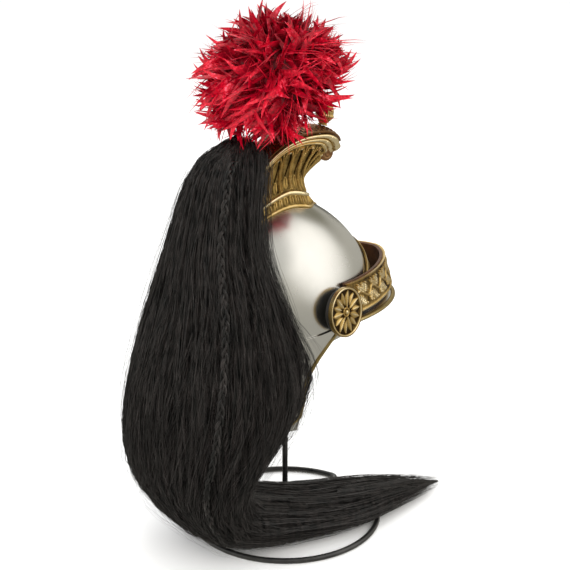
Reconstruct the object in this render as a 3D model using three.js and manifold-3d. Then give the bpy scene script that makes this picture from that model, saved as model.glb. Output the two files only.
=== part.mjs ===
// Cuirassier helmet on its wire stand, in millimetres, +Z up.
// The origin is the foot of the stand's post on the floor. The front of the helmet faces -Y,
// and +X is the wearer's left.
import * as THREE from 'three';
import { mergeVertices } from 'three/addons/utils/BufferGeometryUtils.js';
import Module from 'manifold-3d';

const wasm = await Module();
wasm.setup();

// Driving dimensions

const clearance = 0.3;
const facetAllowance = 0.5;

const stand = {
  wire: 6,
  ringRadius: 102.3,
  spokeTurn: -72,
  spokePastPost: 6,
  cutEndGap: 4,
  bendRadius: 9,
  capRadius: 27,
  capThickness: 9,
};

const skull = {
  browHeight: 255,
  rise: 112,
  halfWidth: 85,
  halfLength: 103,
  centreY: 8,
  fullness: 1.6,
  wall: 1.3,
  frontRim: 3,
  backRim: 30,
};

const neckGuard = {
  wall: 1.2,
  overlap: 13,
  drop: 95,
  taper: 9,
  flare: 18,
  frontY: -10,
  sideCut: 48,
};

const visor = {
  wall: 1.2,
  reach: 25.5,
  sideReach: 4,
  fall: 2,
  lap: 3,
  sideFall: 7,
  roundness: 2.2,
  sag: 1.3,
  halfFacets: 7,
};

const trim = { grip: 3.6, lip: 1.2, cheek: 1.0 };

const frontPlate = {
  wall: 1.0,
  foot: 8,
  height: 48,
  halfAngle: 50,
  sideHeight: 0.45,
  border: 1.2,
};

const crest = {
  frontY: -38,
  backY: 106,
  prowY: -58,
  tailY: 113,
  topAboveCrown: 61,
  tailAboveBrow: 37,
  sink: 9,
  baseHalfWidth: 25,
  waistHalfWidth: 16.5,
  rimHalfWidth: 19,
  edgeHalfWidth: 0.4,
  wall: 1.6,
  frontBow: 31,
  flutes: 11,
  fluteDepth: 1.5,
  beadDepth: 1.4,
  plateWall: 1.2,
  plateCrown: 4,
};

const scroll = { radius: 8, halfLength: 13, backSet: 14, drop: 9 };

const finial = { radius: 9, height: 24, alongCrest: 0.145, lean: 15 };

const rosette = {
  radius: 25,
  thickness: 4.5,
  rim: 1.6,
  petals: 12,
  petalDepth: 1.3,
  standOff: 12,
  padThickness: 6,
  bossRadius: 9,
  centreY: -7,
  heightAboveBrow: 12,
  turn: 15.5,
  tilt: 7.5,
};

const strap = {
  width: 32,
  topAboveBrow: 37,
  leather: 3,
  plate: 1.6,
  relief: 1.3,
  halfWidth: 92,
  reach: 121,
  lean: 9,
  pointedness: 1.6,
  openShare: 0.035,
  seamShare: 0.006,
  borderShare: 0.02,
  leaves: 9,
};

const rivet = { radius: 3, height: 2.4, belowEdge: 6, count: 4, spread: 66 };

const plume = {
  rootOnCrest: 0.36,
  socketRadius: 6,
  socketHeight: 12,
  stemRadius: 2.5,
  seatDepth: 3,
  centreRise: 60,
  centreBack: 5,
  tilt: 20,
  coreHalfWidth: 54,
  coreHalfLength: 60,
  coreHalfHeight: 45,
  reach: 95,
  heightShare: 0.76,
  swell: 0.13,
  droop: 0.04,
  featherWidth: 21,
  feathers: 31,
};

const mane = {
  rootAboveCrown: 65,
  backY: 128,
  halfWidth: 105,
  halfDepth: 85,
  grooveDepth: 0.06,
  locks: 11,
  standOff: 4,
  tipLength: 46,
  tipWidth: 9,
};

const braid = {
  halfWidth: 4.3,
  halfThickness: 3.4,
  weave: 1.15,
  taper: 0.6,
  pitch: 15,
  slack: 0.14,
  top: 0.1,
  end: 0.62,
  turn: 150,
  sway: 5,
};

// Solids from points and faces

const vec = (x, y, z) => new THREE.Vector3(x, y, z);
const rad = THREE.MathUtils.degToRad;
const mix = THREE.MathUtils.lerp;

function solidOf(points, faces) {
  let volume = 0;
  for (const [a, b, c] of faces) {
    volume += points[a].dot(vec(0, 0, 0).crossVectors(points[b], points[c]));
  }
  const triVerts = new Uint32Array(faces.flatMap(([a, b, c]) => (volume > 0 ? [a, b, c] : [a, c, b])));
  const vertProperties = new Float32Array(points.flatMap((point) => point.toArray()));
  return new wasm.Manifold(new wasm.Mesh({ numProp: 3, vertProperties, triVerts }));
}

function solidOfGeometry(geometry) {
  const bare = geometry.clone();
  bare.deleteAttribute('normal');
  bare.deleteAttribute('uv');
  const merged = mergeVertices(bare, 1e-3);
  const position = merged.getAttribute('position');
  const points = [];
  for (let i = 0; i < position.count; i += 1) {
    points.push(vec(0, 0, 0).fromBufferAttribute(position, i));
  }
  const index = merged.getIndex();
  const faces = [];
  for (let i = 0; i < index.count; i += 3) {
    const face = [index.getX(i), index.getX(i + 1), index.getX(i + 2)];
    if (new Set(face).size === 3) faces.push(face);
  }
  return solidOf(points, faces);
}

// Closed rings of points, skinned one to the next, with a ladder of triangles on each end
function loft(rings) {
  const count = rings[0].length;
  const points = rings.flat();
  const faces = [];
  for (let i = 0; i < rings.length - 1; i += 1) {
    for (let j = 0; j < count; j += 1) {
      const a = i * count + j;
      const b = i * count + ((j + 1) % count);
      faces.push([a, b, b + count], [a, b + count, a + count]);
    }
  }
  const last = (rings.length - 1) * count;
  let low = 0;
  let high = count - 1;
  while (low + 1 < high) {
    faces.push([low + 1, low, high], [last + low, last + low + 1, last + high]);
    low += 1;
    if (low + 1 < high) {
      faces.push([high - 1, low, high], [last + low, last + high - 1, last + high]);
      high -= 1;
    }
  }
  return solidOf(points, faces);
}

// The outward normal at each point of a grid of rows
function gridNormals(rows) {
  const at = (i, j) => rows[i][j];
  return rows.map((row, i) => row.map((_, j) => {
    const along = vec(0, 0, 0).subVectors(
      at(i, Math.min(j + 1, row.length - 1)),
      at(i, Math.max(j - 1, 0)),
    );
    const across = vec(0, 0, 0).subVectors(
      at(Math.min(i + 1, rows.length - 1), j),
      at(Math.max(i - 1, 0), j),
    );
    return along.cross(across).normalize();
  }));
}

// A sheet with its outer face on the grid, thickened inwards by its wall. Grown, it is the
// space that a neighbour keeps clear of; raised, its outer face carries relief.
function sheet(rows, wall, { grow = 0, reach = 0, raise = () => 0 } = {}) {
  const normals = gridNormals(rows);
  const lastRow = rows.length - 1;
  const lastColumn = rows[0].length - 1;
  const pushed = rows.map((row, i) => row.map((point, j) => {
    const shift = vec(0, 0, 0);
    const from = (k, l) => vec(0, 0, 0).subVectors(point, rows[k][l]).setLength(reach);
    if (reach > 0 && i === 0) shift.add(from(1, j));
    if (reach > 0 && i === lastRow) shift.add(from(lastRow - 1, j));
    if (reach > 0 && j === 0) shift.add(from(i, 1));
    if (reach > 0 && j === lastColumn) shift.add(from(i, lastColumn - 1));
    return shift.add(point);
  }));
  const face = (offset) => pushed.flatMap((row, i) => row.map(
    (point, j) => point.clone().addScaledVector(normals[i][j], offset(i, j)),
  ));
  const points = [...face((i, j) => grow + raise(i, j)), ...face(() => -wall - grow)];
  const columns = lastColumn + 1;
  const half = points.length / 2;
  const faces = [];
  for (let i = 0; i < lastRow; i += 1) {
    for (let j = 0; j < lastColumn; j += 1) {
      const a = i * columns + j;
      const [b, c, d] = [a + 1, a + 1 + columns, a + columns];
      faces.push([a, b, c], [a, c, d]);
      faces.push([half + a, half + c, half + b], [half + a, half + d, half + c]);
    }
  }
  const border = [];
  for (let j = 0; j < lastColumn; j += 1) border.push(j);
  for (let i = 0; i < lastRow; i += 1) border.push(i * columns + lastColumn);
  for (let j = lastColumn; j > 0; j -= 1) border.push(lastRow * columns + j);
  for (let i = lastRow; i > 0; i -= 1) border.push(i * columns);
  border.forEach((a, k) => {
    const b = border[(k + 1) % border.length];
    faces.push([b, a, half + a], [b, half + a, half + b]);
  });
  return solidOf(points, faces);
}

// The space that a neighbour of a sheet keeps clear of
const roomOf = (rows, wall) => sheet(rows, wall, { grow: clearance, reach: clearance });

// A box of the given size around a middle point
function block(size, middle) {
  const geometry = new THREE.BoxGeometry(...size);
  geometry.translate(...middle);
  return solidOfGeometry(geometry);
}

function turned(profile, sides) {
  const outline = profile.map(([radius, height]) => new THREE.Vector2(radius, height));
  const geometry = new THREE.LatheGeometry(outline, sides);
  geometry.rotateX(Math.PI / 2);
  return solidOfGeometry(geometry);
}

function placed(solid, matrix) {
  return solid.transform(matrix.elements);
}

// Values of a table's column, drawn as one smooth curve over the shares 0 to 1
function column(table, index) {
  const curve = new THREE.SplineCurve(table.map((row, i) => new THREE.Vector2(i, row[index])));
  return (share) => curve.getPoint(share).y;
}

const steps = (count) => Array.from({ length: count + 1 }, (_, i) => i / count);

const joined = (solids) => solids.reduce((sum, solid) => sum.add(solid));

const largestOf = (solid) => solid.decompose().sort((a, b) => b.volume() - a.volume())[0];

const group = new THREE.Group();

function addPart(name, solid, color, roughness, metalness) {
  const { numProp, vertProperties, triVerts } = solid.getMesh();
  const geometry = new THREE.BufferGeometry();
  const positions = new Float32Array((vertProperties.length / numProp) * 3);
  for (let i = 0; i < positions.length / 3; i += 1) {
    positions.set(vertProperties.subarray(i * numProp, i * numProp + 3), i * 3);
  }
  geometry.setAttribute('position', new THREE.BufferAttribute(positions, 3));
  geometry.setIndex(new THREE.BufferAttribute(new Uint32Array(triVerts), 1));
  geometry.computeVertexNormals();
  const material = new THREE.MeshStandardMaterial({ color, roughness, metalness });
  const mesh = new THREE.Mesh(geometry, material);
  mesh.name = name;
  group.add(mesh);
}

const finish = {
  steel: [0xcfcfca, 0.12, 1],
  brass: [0xb08a3e, 0.32, 1],
  agedBrass: [0x8a5a30, 0.45, 1],
  leather: [0x4a2c18, 0.7, 0],
  blackLeather: [0x1b1917, 0.6, 0],
  horsehair: [0x17120f, 0.55, 0],
  feather: [0xc4041f, 0.5, 0],
  blackWire: [0x101010, 0.35, 0.4],
};

// Skull: a polished steel dome, open below, with a rim that slopes down to the back

const crownZ = skull.browHeight + skull.rise;

function skullRimZ(y) {
  const share = (y - skull.centreY + skull.halfLength) / (2 * skull.halfLength);
  const fall = Math.sin(THREE.MathUtils.clamp(share, 0, 1) * Math.PI / 2);
  return skull.browHeight - mix(skull.frontRim, skull.backRim, fall);
}

// The dome's outer face, grown by an offset, at an angle from +X and a share from rim to apex
function skullPoint(angle, share, grow = 0) {
  const halfWidth = skull.halfWidth + grow;
  const halfLength = skull.halfLength + grow;
  const rise = skull.rise + grow;
  const radius = Math.cos(share * Math.PI / 2);
  const height = rise * Math.sqrt(1 - radius ** skull.fullness);
  return vec(
    halfWidth * radius * Math.cos(angle),
    skull.centreY + halfLength * radius * Math.sin(angle),
    skull.browHeight + height,
  );
}

// The height of the dome's outer face over a point in plan
function skullZ(x, y, grow = 0) {
  const across = x / (skull.halfWidth + grow);
  const along = (y - skull.centreY) / (skull.halfLength + grow);
  const radius = Math.min(Math.hypot(across, along), 1);
  return skull.browHeight + (skull.rise + grow) * Math.sqrt(1 - radius ** skull.fullness);
}

// The level direction that stands square on the rim at an angle from +X
function skullNormal(angle) {
  return vec(Math.cos(angle) / skull.halfWidth, Math.sin(angle) / skull.halfLength, 0).normalize();
}

const skullSides = 32;
const facetAngle = 2 * Math.PI / skullSides;
const skullShares = [0, 0.18, 0.4, 0.64, 0.87, 0.995];

function domeSolid(grow, rimZ, sides = skullSides) {
  const ring = (place) => steps(sides).slice(1).map((share) => place(share * 2 * Math.PI));
  const wallRing = ring((angle) => {
    const point = skullPoint(angle, 0, grow);
    return point.setZ(rimZ(point.y));
  });
  return loft([
    wallRing,
    ...skullShares.map((share) => ring((angle) => skullPoint(angle, share, grow))),
  ]);
}

const belowRim = 40;
const skullOuter = domeSolid(0, skullRimZ);
const skullInner = domeSolid(-skull.wall, (y) => skullRimZ(y) - belowRim);
const skullRoom = domeSolid(clearance, (y) => skullRimZ(y) - belowRim);
addPart('skull', skullOuter.subtract(skullInner), ...finish.steel);

// Neck guard: a steel sheet that laps the skull, cut back round the ears and flared behind

const guardTable = [
  // drop share, narrowing share, flare share, share of the side cut
  [0.00, 0.00, 0.00, 0.00],
  [0.15, 0.00, 0.02, 0.40],
  [0.30, 0.28, 0.07, 0.64],
  [0.48, 0.60, 0.22, 0.80],
  [0.72, 0.85, 0.52, 0.86],
  [1.00, 1.00, 1.00, 1.00],
];
const guardSeat = clearance + neckGuard.wall + facetAllowance;
const guardBottomZ = skull.browHeight - skull.backRim + neckGuard.overlap - neckGuard.drop;

function guardRows(columns) {
  return guardTable.map(([drop, narrowing, flare, cut]) => {
    const halfWidth = skull.halfWidth + guardSeat - neckGuard.taper * narrowing;
    const halfLength = skull.halfLength + guardSeat + neckGuard.flare * flare;
    const edgeY = neckGuard.frontY + neckGuard.sideCut * cut;
    const edge = Math.asin((edgeY - skull.centreY) / halfLength);
    return steps(columns).map((share) => {
      const angle = mix(Math.PI - edge, edge, share);
      const y = skull.centreY + halfLength * Math.sin(angle);
      const topZ = skullRimZ(y) + neckGuard.overlap;
      return vec(halfWidth * Math.cos(angle), y, mix(topZ, guardBottomZ, drop));
    });
  });
}

const guardGrid = guardRows(16);
const skullCover = domeSolid(clearance, (y) => skullRimZ(y) - clearance);
const guardSolid = sheet(guardGrid, neckGuard.wall).subtract(skullCover);
addPart('neck_guard', guardSolid, ...finish.steel);

// The edging is a folded brass strip: its section follows the sheet's own edge points
function edgingBar(rows, path, wall, grow = 0) {
  const normals = gridNormals(rows);
  return loft(path.map(([i, j, k, l]) => {
    const point = rows[i][j];
    const inward = vec(0, 0, 0).subVectors(rows[k][l], point);
    const normal = normals[i][j];
    inward.addScaledVector(normal, -inward.dot(normal)).normalize();
    const out = trim.cheek + clearance + grow;
    const under = wall + out;
    const corners = [
      [trim.grip + grow, out], [0, out], [-trim.lip - grow, -wall / 2],
      [0, -under], [trim.grip + grow, -under],
    ];
    return corners.map(([depth, height]) => point.clone()
      .addScaledVector(inward, depth).addScaledVector(normal, height));
  }));
}

const edging = (rows, path, wall) => edgingBar(rows, path, wall).subtract(roomOf(rows, wall));

const guardLast = guardGrid.length - 1;
const guardColumns = guardGrid[0].length - 1;
const sideDown = guardTable.slice(0, -1).map((_, i) => i);
const guardEdge = [
  ...sideDown.map((i) => [i, 0, i, 1]),
  [guardLast, 0, guardLast - 1, 1],
  ...guardGrid[0].slice(1, -1).map((_, j) => [guardLast, j + 1, guardLast - 1, j + 1]),
  [guardLast, guardColumns, guardLast - 1, guardColumns - 1],
  ...sideDown.reverse().map((i) => [i, guardColumns, i, guardColumns - 1]),
];
const guardTrim = edging(guardGrid, guardEdge, neckGuard.wall).subtract(skullCover);
addPart('neck_guard_trim', guardTrim, ...finish.brass);

// Visor: a steel peak that laps the skull's front rim and slopes down to its edge

function visorRows(columns, layers) {
  return steps(layers).map((share) => steps(columns).map((step) => {
    const fromFront = mix(1, -1, step) * visor.halfFacets * facetAngle;
    const angle = fromFront - Math.PI / 2;
    const reach = visor.sideReach + visor.reach * Math.cos(fromFront) ** visor.roundness;
    const fall = visor.fall * Math.cos(fromFront) + skull.frontRim;
    const lapZ = skull.browHeight + visor.lap - visor.sideFall * (1 - Math.cos(fromFront));
    return skullPoint(angle, 0, clearance + facetAllowance)
      .addScaledVector(skullNormal(angle), reach * share)
      .setZ(lapZ - fall * share ** visor.sag);
  }));
}

const visorGrid = visorRows(visor.halfFacets * 2, 2);
addPart('visor', sheet(visorGrid, visor.wall), ...finish.steel);
const visorLast = visorGrid.length - 1;
const visorEdge = visorGrid[0].slice(1, -1).map((_, j) => [visorLast, j + 1, visorLast - 1, j + 1]);
addPart('visor_trim', edging(visorGrid, visorEdge, visor.wall), ...finish.brass);

// Front plate: a brass plate on the brow of the skull, with a raised border

const plateLast = { row: 4, column: 10 };
const plateRows = steps(plateLast.row).map((rise) => steps(plateLast.column).map((step) => {
  const turn = mix(-frontPlate.halfAngle, frontPlate.halfAngle, step);
  const arch = Math.cos(rad(turn * 90 / frontPlate.halfAngle));
  const height = frontPlate.height * mix(frontPlate.sideHeight, 1, arch);
  const level = frontPlate.foot + height * rise;
  const radius = (1 - (level / skull.rise) ** 2) ** (1 / skull.fullness);
  const share = Math.acos(radius) / (Math.PI / 2);
  return skullPoint(rad(turn - 90), share, clearance + frontPlate.wall + facetAllowance);
}));
const onPlateBorder = (i, j) => i % plateLast.row === 0 || j % plateLast.column === 0;
const frontPlateSolid = sheet(plateRows, frontPlate.wall, {
  raise: (i, j) => (onPlateBorder(i, j) ? frontPlate.border : 0),
}).subtract(skullRoom);
addPart('front_plate', frontPlateSolid, ...finish.brass);

// Crest: two hollow brass sides, swept back from a prow over the dome and down to the nape

const crestTable = [
  // share of the foot's length, share of the rim's length, share of the rise, share of the bow
  [0.00, 0.00, 0.90, 1.00],
  [0.05, 0.04, 0.955, 0.80],
  [0.12, 0.10, 0.99, 0.56],
  [0.20, 0.20, 1.00, 0.36],
  [0.29, 0.30, 0.99, 0.20],
  [0.39, 0.40, 0.955, 0.10],
  [0.48, 0.50, 0.885, 0.03],
  [0.58, 0.60, 0.775, 0.00],
  [0.67, 0.695, 0.64, 0.00],
  [0.77, 0.78, 0.505, 0.00],
  [0.865, 0.87, 0.355, 0.00],
  [0.945, 0.945, 0.19, 0.00],
  [1.00, 1.00, 0.03, 0.00],
];
const crestFoot = column(crestTable, 0);
const crestRim = column(crestTable, 1);
const crestRise = column(crestTable, 2);
const crestBow = column(crestTable, 3);

// The crest's shape in plan: shares of its width left at the front and the tail, and where the
// narrowing starts and stops
const crestFront = { footWidth: 0.1, footRun: 0.24, rimWidth: 0.7, rimStart: -0.02, rimRun: 0.09 };
const crestTail = { start: 0.5, loss: 0.42, power: 1.5 };
const waistHeight = 0.4;

function crestTaper(along) {
  const share = Math.max(0, (along - crestTail.start) / (1 - crestTail.start));
  return 1 - crestTail.loss * share ** crestTail.power;
}

// The rim's own line, in the middle plane
function crestRimPoint(along) {
  return vec(
    0,
    mix(crest.prowY, crest.tailY, crestRim(along)),
    mix(skull.browHeight + crest.tailAboveBrow, crownZ + crest.topAboveCrown, crestRise(along)),
  );
}

// A point of the middle plane between foot (0) and rim (1), on the bowed section line
function crestLine(along, up) {
  const footY = mix(crest.frontY, crest.backY, crestFoot(along));
  const foot = vec(0, footY, skullZ(0, footY));
  const rim = crestRimPoint(along);
  const bend = foot.clone().add(rim).multiplyScalar(0.5);
  bend.y += 2 * crest.frontBow * crestBow(along);
  const line = new THREE.QuadraticBezierCurve3(foot, bend, rim);
  const start = line.getTangent(0).multiplyScalar(Math.min(up, 0) * crest.sink);
  return line.getPoint(Math.max(up, 0)).add(start);
}

function crestHalfWidth(along, up) {
  const above = Math.max(up, 0);
  const footEnd = THREE.MathUtils.smoothstep(along, 0, crestFront.footRun);
  const rimEnd = THREE.MathUtils.smoothstep(along, crestFront.rimStart, crestFront.rimRun);
  const footWidth = mix(crestFront.footWidth, 1, footEnd);
  const rimWidth = mix(crestFront.rimWidth, 1, rimEnd);
  const toWaist = Math.sin(Math.min(above / waistHeight, 1) * Math.PI / 2);
  const toRim = Math.max((above - waistHeight) / (1 - waistHeight), 0) ** 2;
  const side = mix(crest.baseHalfWidth, crest.waistHalfWidth, toWaist)
    + (crest.rimHalfWidth - crest.waistHalfWidth) * toRim;
  return side * mix(footWidth, rimWidth, above) * crestTaper(along);
}

// Flutes stand between the foot's moulding and the rim's three beads
const crestRelief = [
  // share of the height, share of the flute's depth, share of the bead's depth
  [-1, 0, 0.6],
  [0.06, 0, 0.6],
  [0.12, 0, 1],
  [0.16, 0, 0],
  [0.30, 1, 0],
  [0.74, 0.8, 0],
  [0.84, 0, 0],
  [0.89, 0, 1],
  [0.94, 0, 0.1],
  [1.0, 0, 1],
];
const crestSamples = crest.flutes * 2;

function crestRings(samples, rows, inset, relief) {
  return steps(samples).map((along, i) => {
    const side = rows.map(([up, flute, bead]) => {
      const wave = Math.cos((i / samples) * crest.flutes * 2 * Math.PI);
      const raised = relief ? crest.fluteDepth * flute * wave + crest.beadDepth * bead : 0;
      const point = crestLine(along, up);
      return point.setX(Math.max(crestHalfWidth(along, up) - inset + raised, crest.edgeHalfWidth));
    });
    const mirrored = side.map((point) => vec(-point.x, point.y, point.z)).reverse();
    return [...side, ...mirrored];
  });
}

const crestOuter = loft(crestRings(crestSamples, crestRelief, 0, true));
const crestCoreRows = [[-1.6], [0.05], [0.3], [0.6], [0.93], [1.12]];
const crestInset = crest.wall + crest.fluteDepth;
const crestCore = loft(crestRings(crest.flutes, crestCoreRows, crestInset, false).slice(2, -1));
const scrollPlace = crestRimPoint(0).add(vec(0, scroll.backSet, -scroll.drop));
const scrollProfile = [
  [0, -1], [0.7, -1], [1, -0.8], [0.8, -0.4], [1, 0], [0.8, 0.4], [1, 0.8], [0.7, 1], [0, 1],
].map(([radius, length]) => [radius * scroll.radius, length * scroll.halfLength]);
const scrollMatrix = new THREE.Matrix4().makeRotationY(Math.PI / 2).setPosition(scrollPlace);
const scrollSolid = placed(turned(scrollProfile, 10), scrollMatrix);
const crestBody = crestOuter.subtract(crestCore).add(scrollSolid).subtract(skullRoom)
  .subtract(frontPlateSolid);
const halfSpace = 400;
const sideRoom = (side) => block(
  [halfSpace, halfSpace * 2, halfSpace * 2],
  [side * (halfSpace + clearance) / 2, 0, skull.browHeight],
);
addPart('crest_side_right', crestBody.intersect(sideRoom(-1)), ...finish.brass);
addPart('crest_side_left', crestBody.intersect(sideRoom(1)), ...finish.brass);

// Crest top plate: a crowned brass sheet that closes the crest between its rims

// A place over the rim's line, lifted square off it
function overRim(along, lift) {
  const nearby = 0.01;
  const ahead = crestRimPoint(along + nearby).sub(crestRimPoint(along - nearby)).normalize();
  return crestRimPoint(along).addScaledVector(vec(0, -ahead.z, ahead.y), lift);
}

const plateSeat = clearance + crest.plateWall + facetAllowance;
const plateSpan = { from: 0.015, to: 0.93 };
const crownShares = steps(4).map((share) => share * 2 - 1);
const topPlateRows = crownShares.map((across) => steps(12).map((share) => {
  const along = mix(plateSpan.from, plateSpan.to, share);
  const lift = plateSeat + crest.plateCrown * (1 - across ** 2);
  return overRim(along, lift).setX(-across * crestHalfWidth(along, 1));
}));
addPart('crest_top_plate', sheet(topPlateRows, crest.plateWall), ...finish.agedBrass);

const onCrown = (along) => overRim(along, plateSeat + crest.plateCrown + clearance);

// Finial: a turned brass pomegranate on the prow, leaning forward
const finialSeat = onCrown(finial.alongCrest);
const finialProfile = [
  [0, 0], [0.55, 0], [0.45, 0.08], [0.75, 0.26], [1.08, 0.4], [1.08, 0.46],
  [0.96, 0.5], [0.84, 0.74], [0.5, 0.92], [0.22, 0.96], [0.2, 1.08], [0, 1.1],
].map(([radius, height]) => [radius * finial.radius, height * finial.height]);
const finialMatrix = new THREE.Matrix4().makeRotationX(rad(finial.lean)).setPosition(finialSeat);
addPart('crest_finial', placed(turned(finialProfile, 10), finialMatrix), ...finish.brass);

// Rosettes: round brass bosses over black leather pads, which pin the strap at each side

function rosetteFrame(side) {
  const normal = vec(
    side * Math.cos(rad(rosette.turn)) * Math.cos(rad(rosette.tilt)),
    -Math.sin(rad(rosette.turn)) * Math.cos(rad(rosette.tilt)),
    Math.sin(rad(rosette.tilt)),
  );
  const centre = vec(
    side * (skull.halfWidth + rosette.standOff),
    rosette.centreY,
    skull.browHeight + rosette.heightAboveBrow,
  );
  const across = vec(0, 0, 1).cross(normal).normalize();
  const up = normal.clone().cross(across);
  return new THREE.Matrix4().makeBasis(across, up, normal).setPosition(centre);
}

// Height of the rosette's face over its back, by radius share and angle
const rosetteRings = [
  // radius share, share of the petal's depth, share of the rim's height
  [0.10, 0.0, 1.0],
  [0.20, 0.0, 0.3],
  [0.48, 1.0, 0.2],
  [0.84, 0.3, 0.0],
  [0.90, 0.0, 0.9],
  [1.00, 0.0, 0.8],
];

function rosetteDisc(radius, bottom, top) {
  return turned([[0, bottom], [radius, bottom], [radius, top], [0, top]], 20);
}

function rosetteFace() {
  const sides = rosette.petals * 2;
  const ring = (radius, height) => Array.from({ length: sides }, (_, k) => {
    const angle = (k / sides) * 2 * Math.PI;
    return vec(radius * Math.cos(angle), radius * Math.sin(angle), height(k));
  });
  const face = rosetteRings.map(([share, petal, rim]) => ring(
    share * rosette.radius,
    (k) => rosette.rim * (rim - 1) + (k % 2 === 0 ? rosette.petalDepth * petal : 0),
  ));
  const back = ring(rosette.radius, () => -rosette.thickness);
  return loft([...face, back]);
}

// The pad behind the boss, with the stub that carries both on the skull
function rosettePad(side) {
  const top = -rosette.thickness - clearance;
  const disc = rosetteDisc(rosette.radius - clearance, top - rosette.padThickness, top);
  const stub = rosetteDisc(rosette.bossRadius, -rosette.standOff * 2, top);
  return placed(disc.add(stub), rosetteFrame(side));
}

const rosetteRoom = (side) => placed(
  rosetteDisc(rosette.radius + clearance, -rosette.standOff * 2, rosette.standOff),
  rosetteFrame(side),
);
for (const [side, name] of [[-1, 'right'], [1, 'left']]) {
  addPart(`rosette_${name}`, placed(rosetteFace(), rosetteFrame(side)), ...finish.brass);
  const carriers = skullRoom
    .add(roomOf(guardGrid, neckGuard.wall))
    .add(roomOf(visorGrid, visor.wall))
    .add(edgingBar(guardGrid, guardEdge, neckGuard.wall, clearance))
    .add(edgingBar(visorGrid, visorEdge, visor.wall, clearance));
  const pad = largestOf(rosettePad(side).subtract(carriers));
  addPart(`rosette_pad_${name}`, pad, ...finish.blackLeather);
}

// Chin strap: a leather band in one loop round the front, faced with embossed brass

// A place on the loop: a share from end to end, a share of its width up, and an outward set
function strapPoint(share, up, outset) {
  const angle = mix(strap.openShare, 1 - strap.openShare, share) * Math.PI;
  const power = 2 / strap.pointedness;
  const halfWidth = strap.halfWidth - strap.lean * up + outset;
  const reach = strap.reach - strap.lean * up + outset;
  return vec(
    -halfWidth * Math.sign(Math.cos(angle)) * Math.abs(Math.cos(angle)) ** power,
    rosette.centreY - reach * Math.sin(angle) ** power,
    skull.browHeight + strap.topAboveBrow - strap.width * (1 - up),
  );
}

function strapRows(columns, rows, outset, from, to, margin) {
  return steps(rows).map((up) => steps(columns).map(
    (share) => strapPoint(mix(from, to, share), mix(margin, 1 - margin, up), outset),
  ));
}

const strapColumns = strap.leaves + 3;
const strapCut = rosetteRoom(-1).add(rosetteRoom(1)).add(skullRoom)
  .add(roomOf(visorGrid, visor.wall))
  .add(sheet(plateRows, frontPlate.wall, { grow: clearance + frontPlate.border }));
const leatherRows = strapRows(strapColumns * 2, 1, 0, 0, 1, 0);
const leatherBand = largestOf(sheet(leatherRows, strap.leather).subtract(strapCut));
addPart('strap_leather', leatherBand, ...finish.leather);

// Embossed leaves lean from a middle rib to the borders, by turns
const leafRelief = [
  // share of the relief on even columns, on odd columns
  [0.6, 0.6],
  [1.0, 0.0],
  [0.8, 0.0],
  [0.0, 1.0],
  [0.6, 0.6],
];
const plateOutset = strap.plate + clearance + facetAllowance;
for (const [name, from, to] of [
  ['right', 0, 0.5 - strap.seamShare],
  ['left', 0.5 + strap.seamShare, 1],
]) {
  const leafRows = strapRows(
    strapColumns, leafRelief.length - 1, plateOutset, from, to, strap.borderShare,
  );
  const facing = sheet(leafRows, strap.plate, {
    raise: (i, j) => strap.relief * leafRelief[i][j % 2],
  });
  addPart(`strap_plate_${name}`, largestOf(facing.subtract(strapCut)), ...finish.brass);
}

// Rivets: small steel domes that fix the neck guard to the skull

const rivetProfile = [
  [0, 0], [1, 0], [1, 0.4], [0.75, 0.8], [0, 1],
].map(([radius, height]) => [radius * rivet.radius, height * rivet.height]);
const guardSpace = roomOf(guardGrid, neckGuard.wall);
steps(rivet.count - 1).forEach((share, i) => {
  const angle = rad(90 + mix(-rivet.spread, rivet.spread, share));
  const place = skullPoint(angle, 0, guardSeat - facetAllowance);
  place.setZ(skullRimZ(place.y) + neckGuard.overlap - rivet.belowEdge);
  const normal = skullNormal(angle);
  const across = vec(0, 0, 1).cross(normal);
  const frame = new THREE.Matrix4().makeBasis(across, vec(0, 0, 1), normal).setPosition(place);
  const head = placed(turned(rivetProfile, 8), frame).subtract(guardSpace);
  addPart(`neck_guard_rivet_${i + 1}`, head, ...finish.steel);
});

// Plume: cock feathers bound in a tuft on a wire stem, which stands in a brass socket

const plumeSeat = onCrown(plume.rootOnCrest);
const socketBore = plume.stemRadius + clearance;
const socketFoot = 1.6;
const socketProfile = [
  [0, 0],
  ...[[socketFoot, 0], [socketFoot, 0.17], [1, 0.33], [0.85, 1]]
    .map(([radius, height]) => [radius * plume.socketRadius, height * plume.socketHeight]),
  [socketBore, plume.socketHeight],
  [socketBore, plume.seatDepth],
  [0, plume.seatDepth],
];
const upright = new THREE.Matrix4().setPosition(plumeSeat);
const socketSolid = placed(turned(socketProfile, 10), upright);
const socketCut = roomOf(topPlateRows, crest.plateWall);
addPart('plume_socket', socketSolid.subtract(socketCut), ...finish.brass);

const plumeCentre = vec(0, plume.centreBack, plume.centreRise).add(plumeSeat);

// Directions spread evenly over a ball, from the lowest to the highest
function spread(count, index) {
  const height = 1 - (2 * index + 1) / count;
  const turn = index * Math.PI * (3 - Math.sqrt(5));
  const level = Math.sqrt(1 - height * height);
  return vec(Math.cos(turn) * level, Math.sin(turn) * level, -height);
}

// A tapered lock of four sides along a line of points, with a half width at each
function lock(points, halfWidths, flatness, facing) {
  const rings = points.map((point, i) => {
    const ahead = points[Math.min(i + 1, points.length - 1)];
    const behind = points[Math.max(i - 1, 0)];
    const tangent = vec(0, 0, 0).subVectors(ahead, behind).normalize();
    const across = vec(0, 0, 0).crossVectors(tangent, facing).normalize();
    const out = vec(0, 0, 0).crossVectors(across, tangent);
    return [[1, 0], [0, flatness], [-1, 0], [0, -flatness]].map(([side, lift]) => point.clone()
      .addScaledVector(across, side * halfWidths[i]).addScaledVector(out, lift * halfWidths[i]));
  });
  return loft(rings);
}

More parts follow.
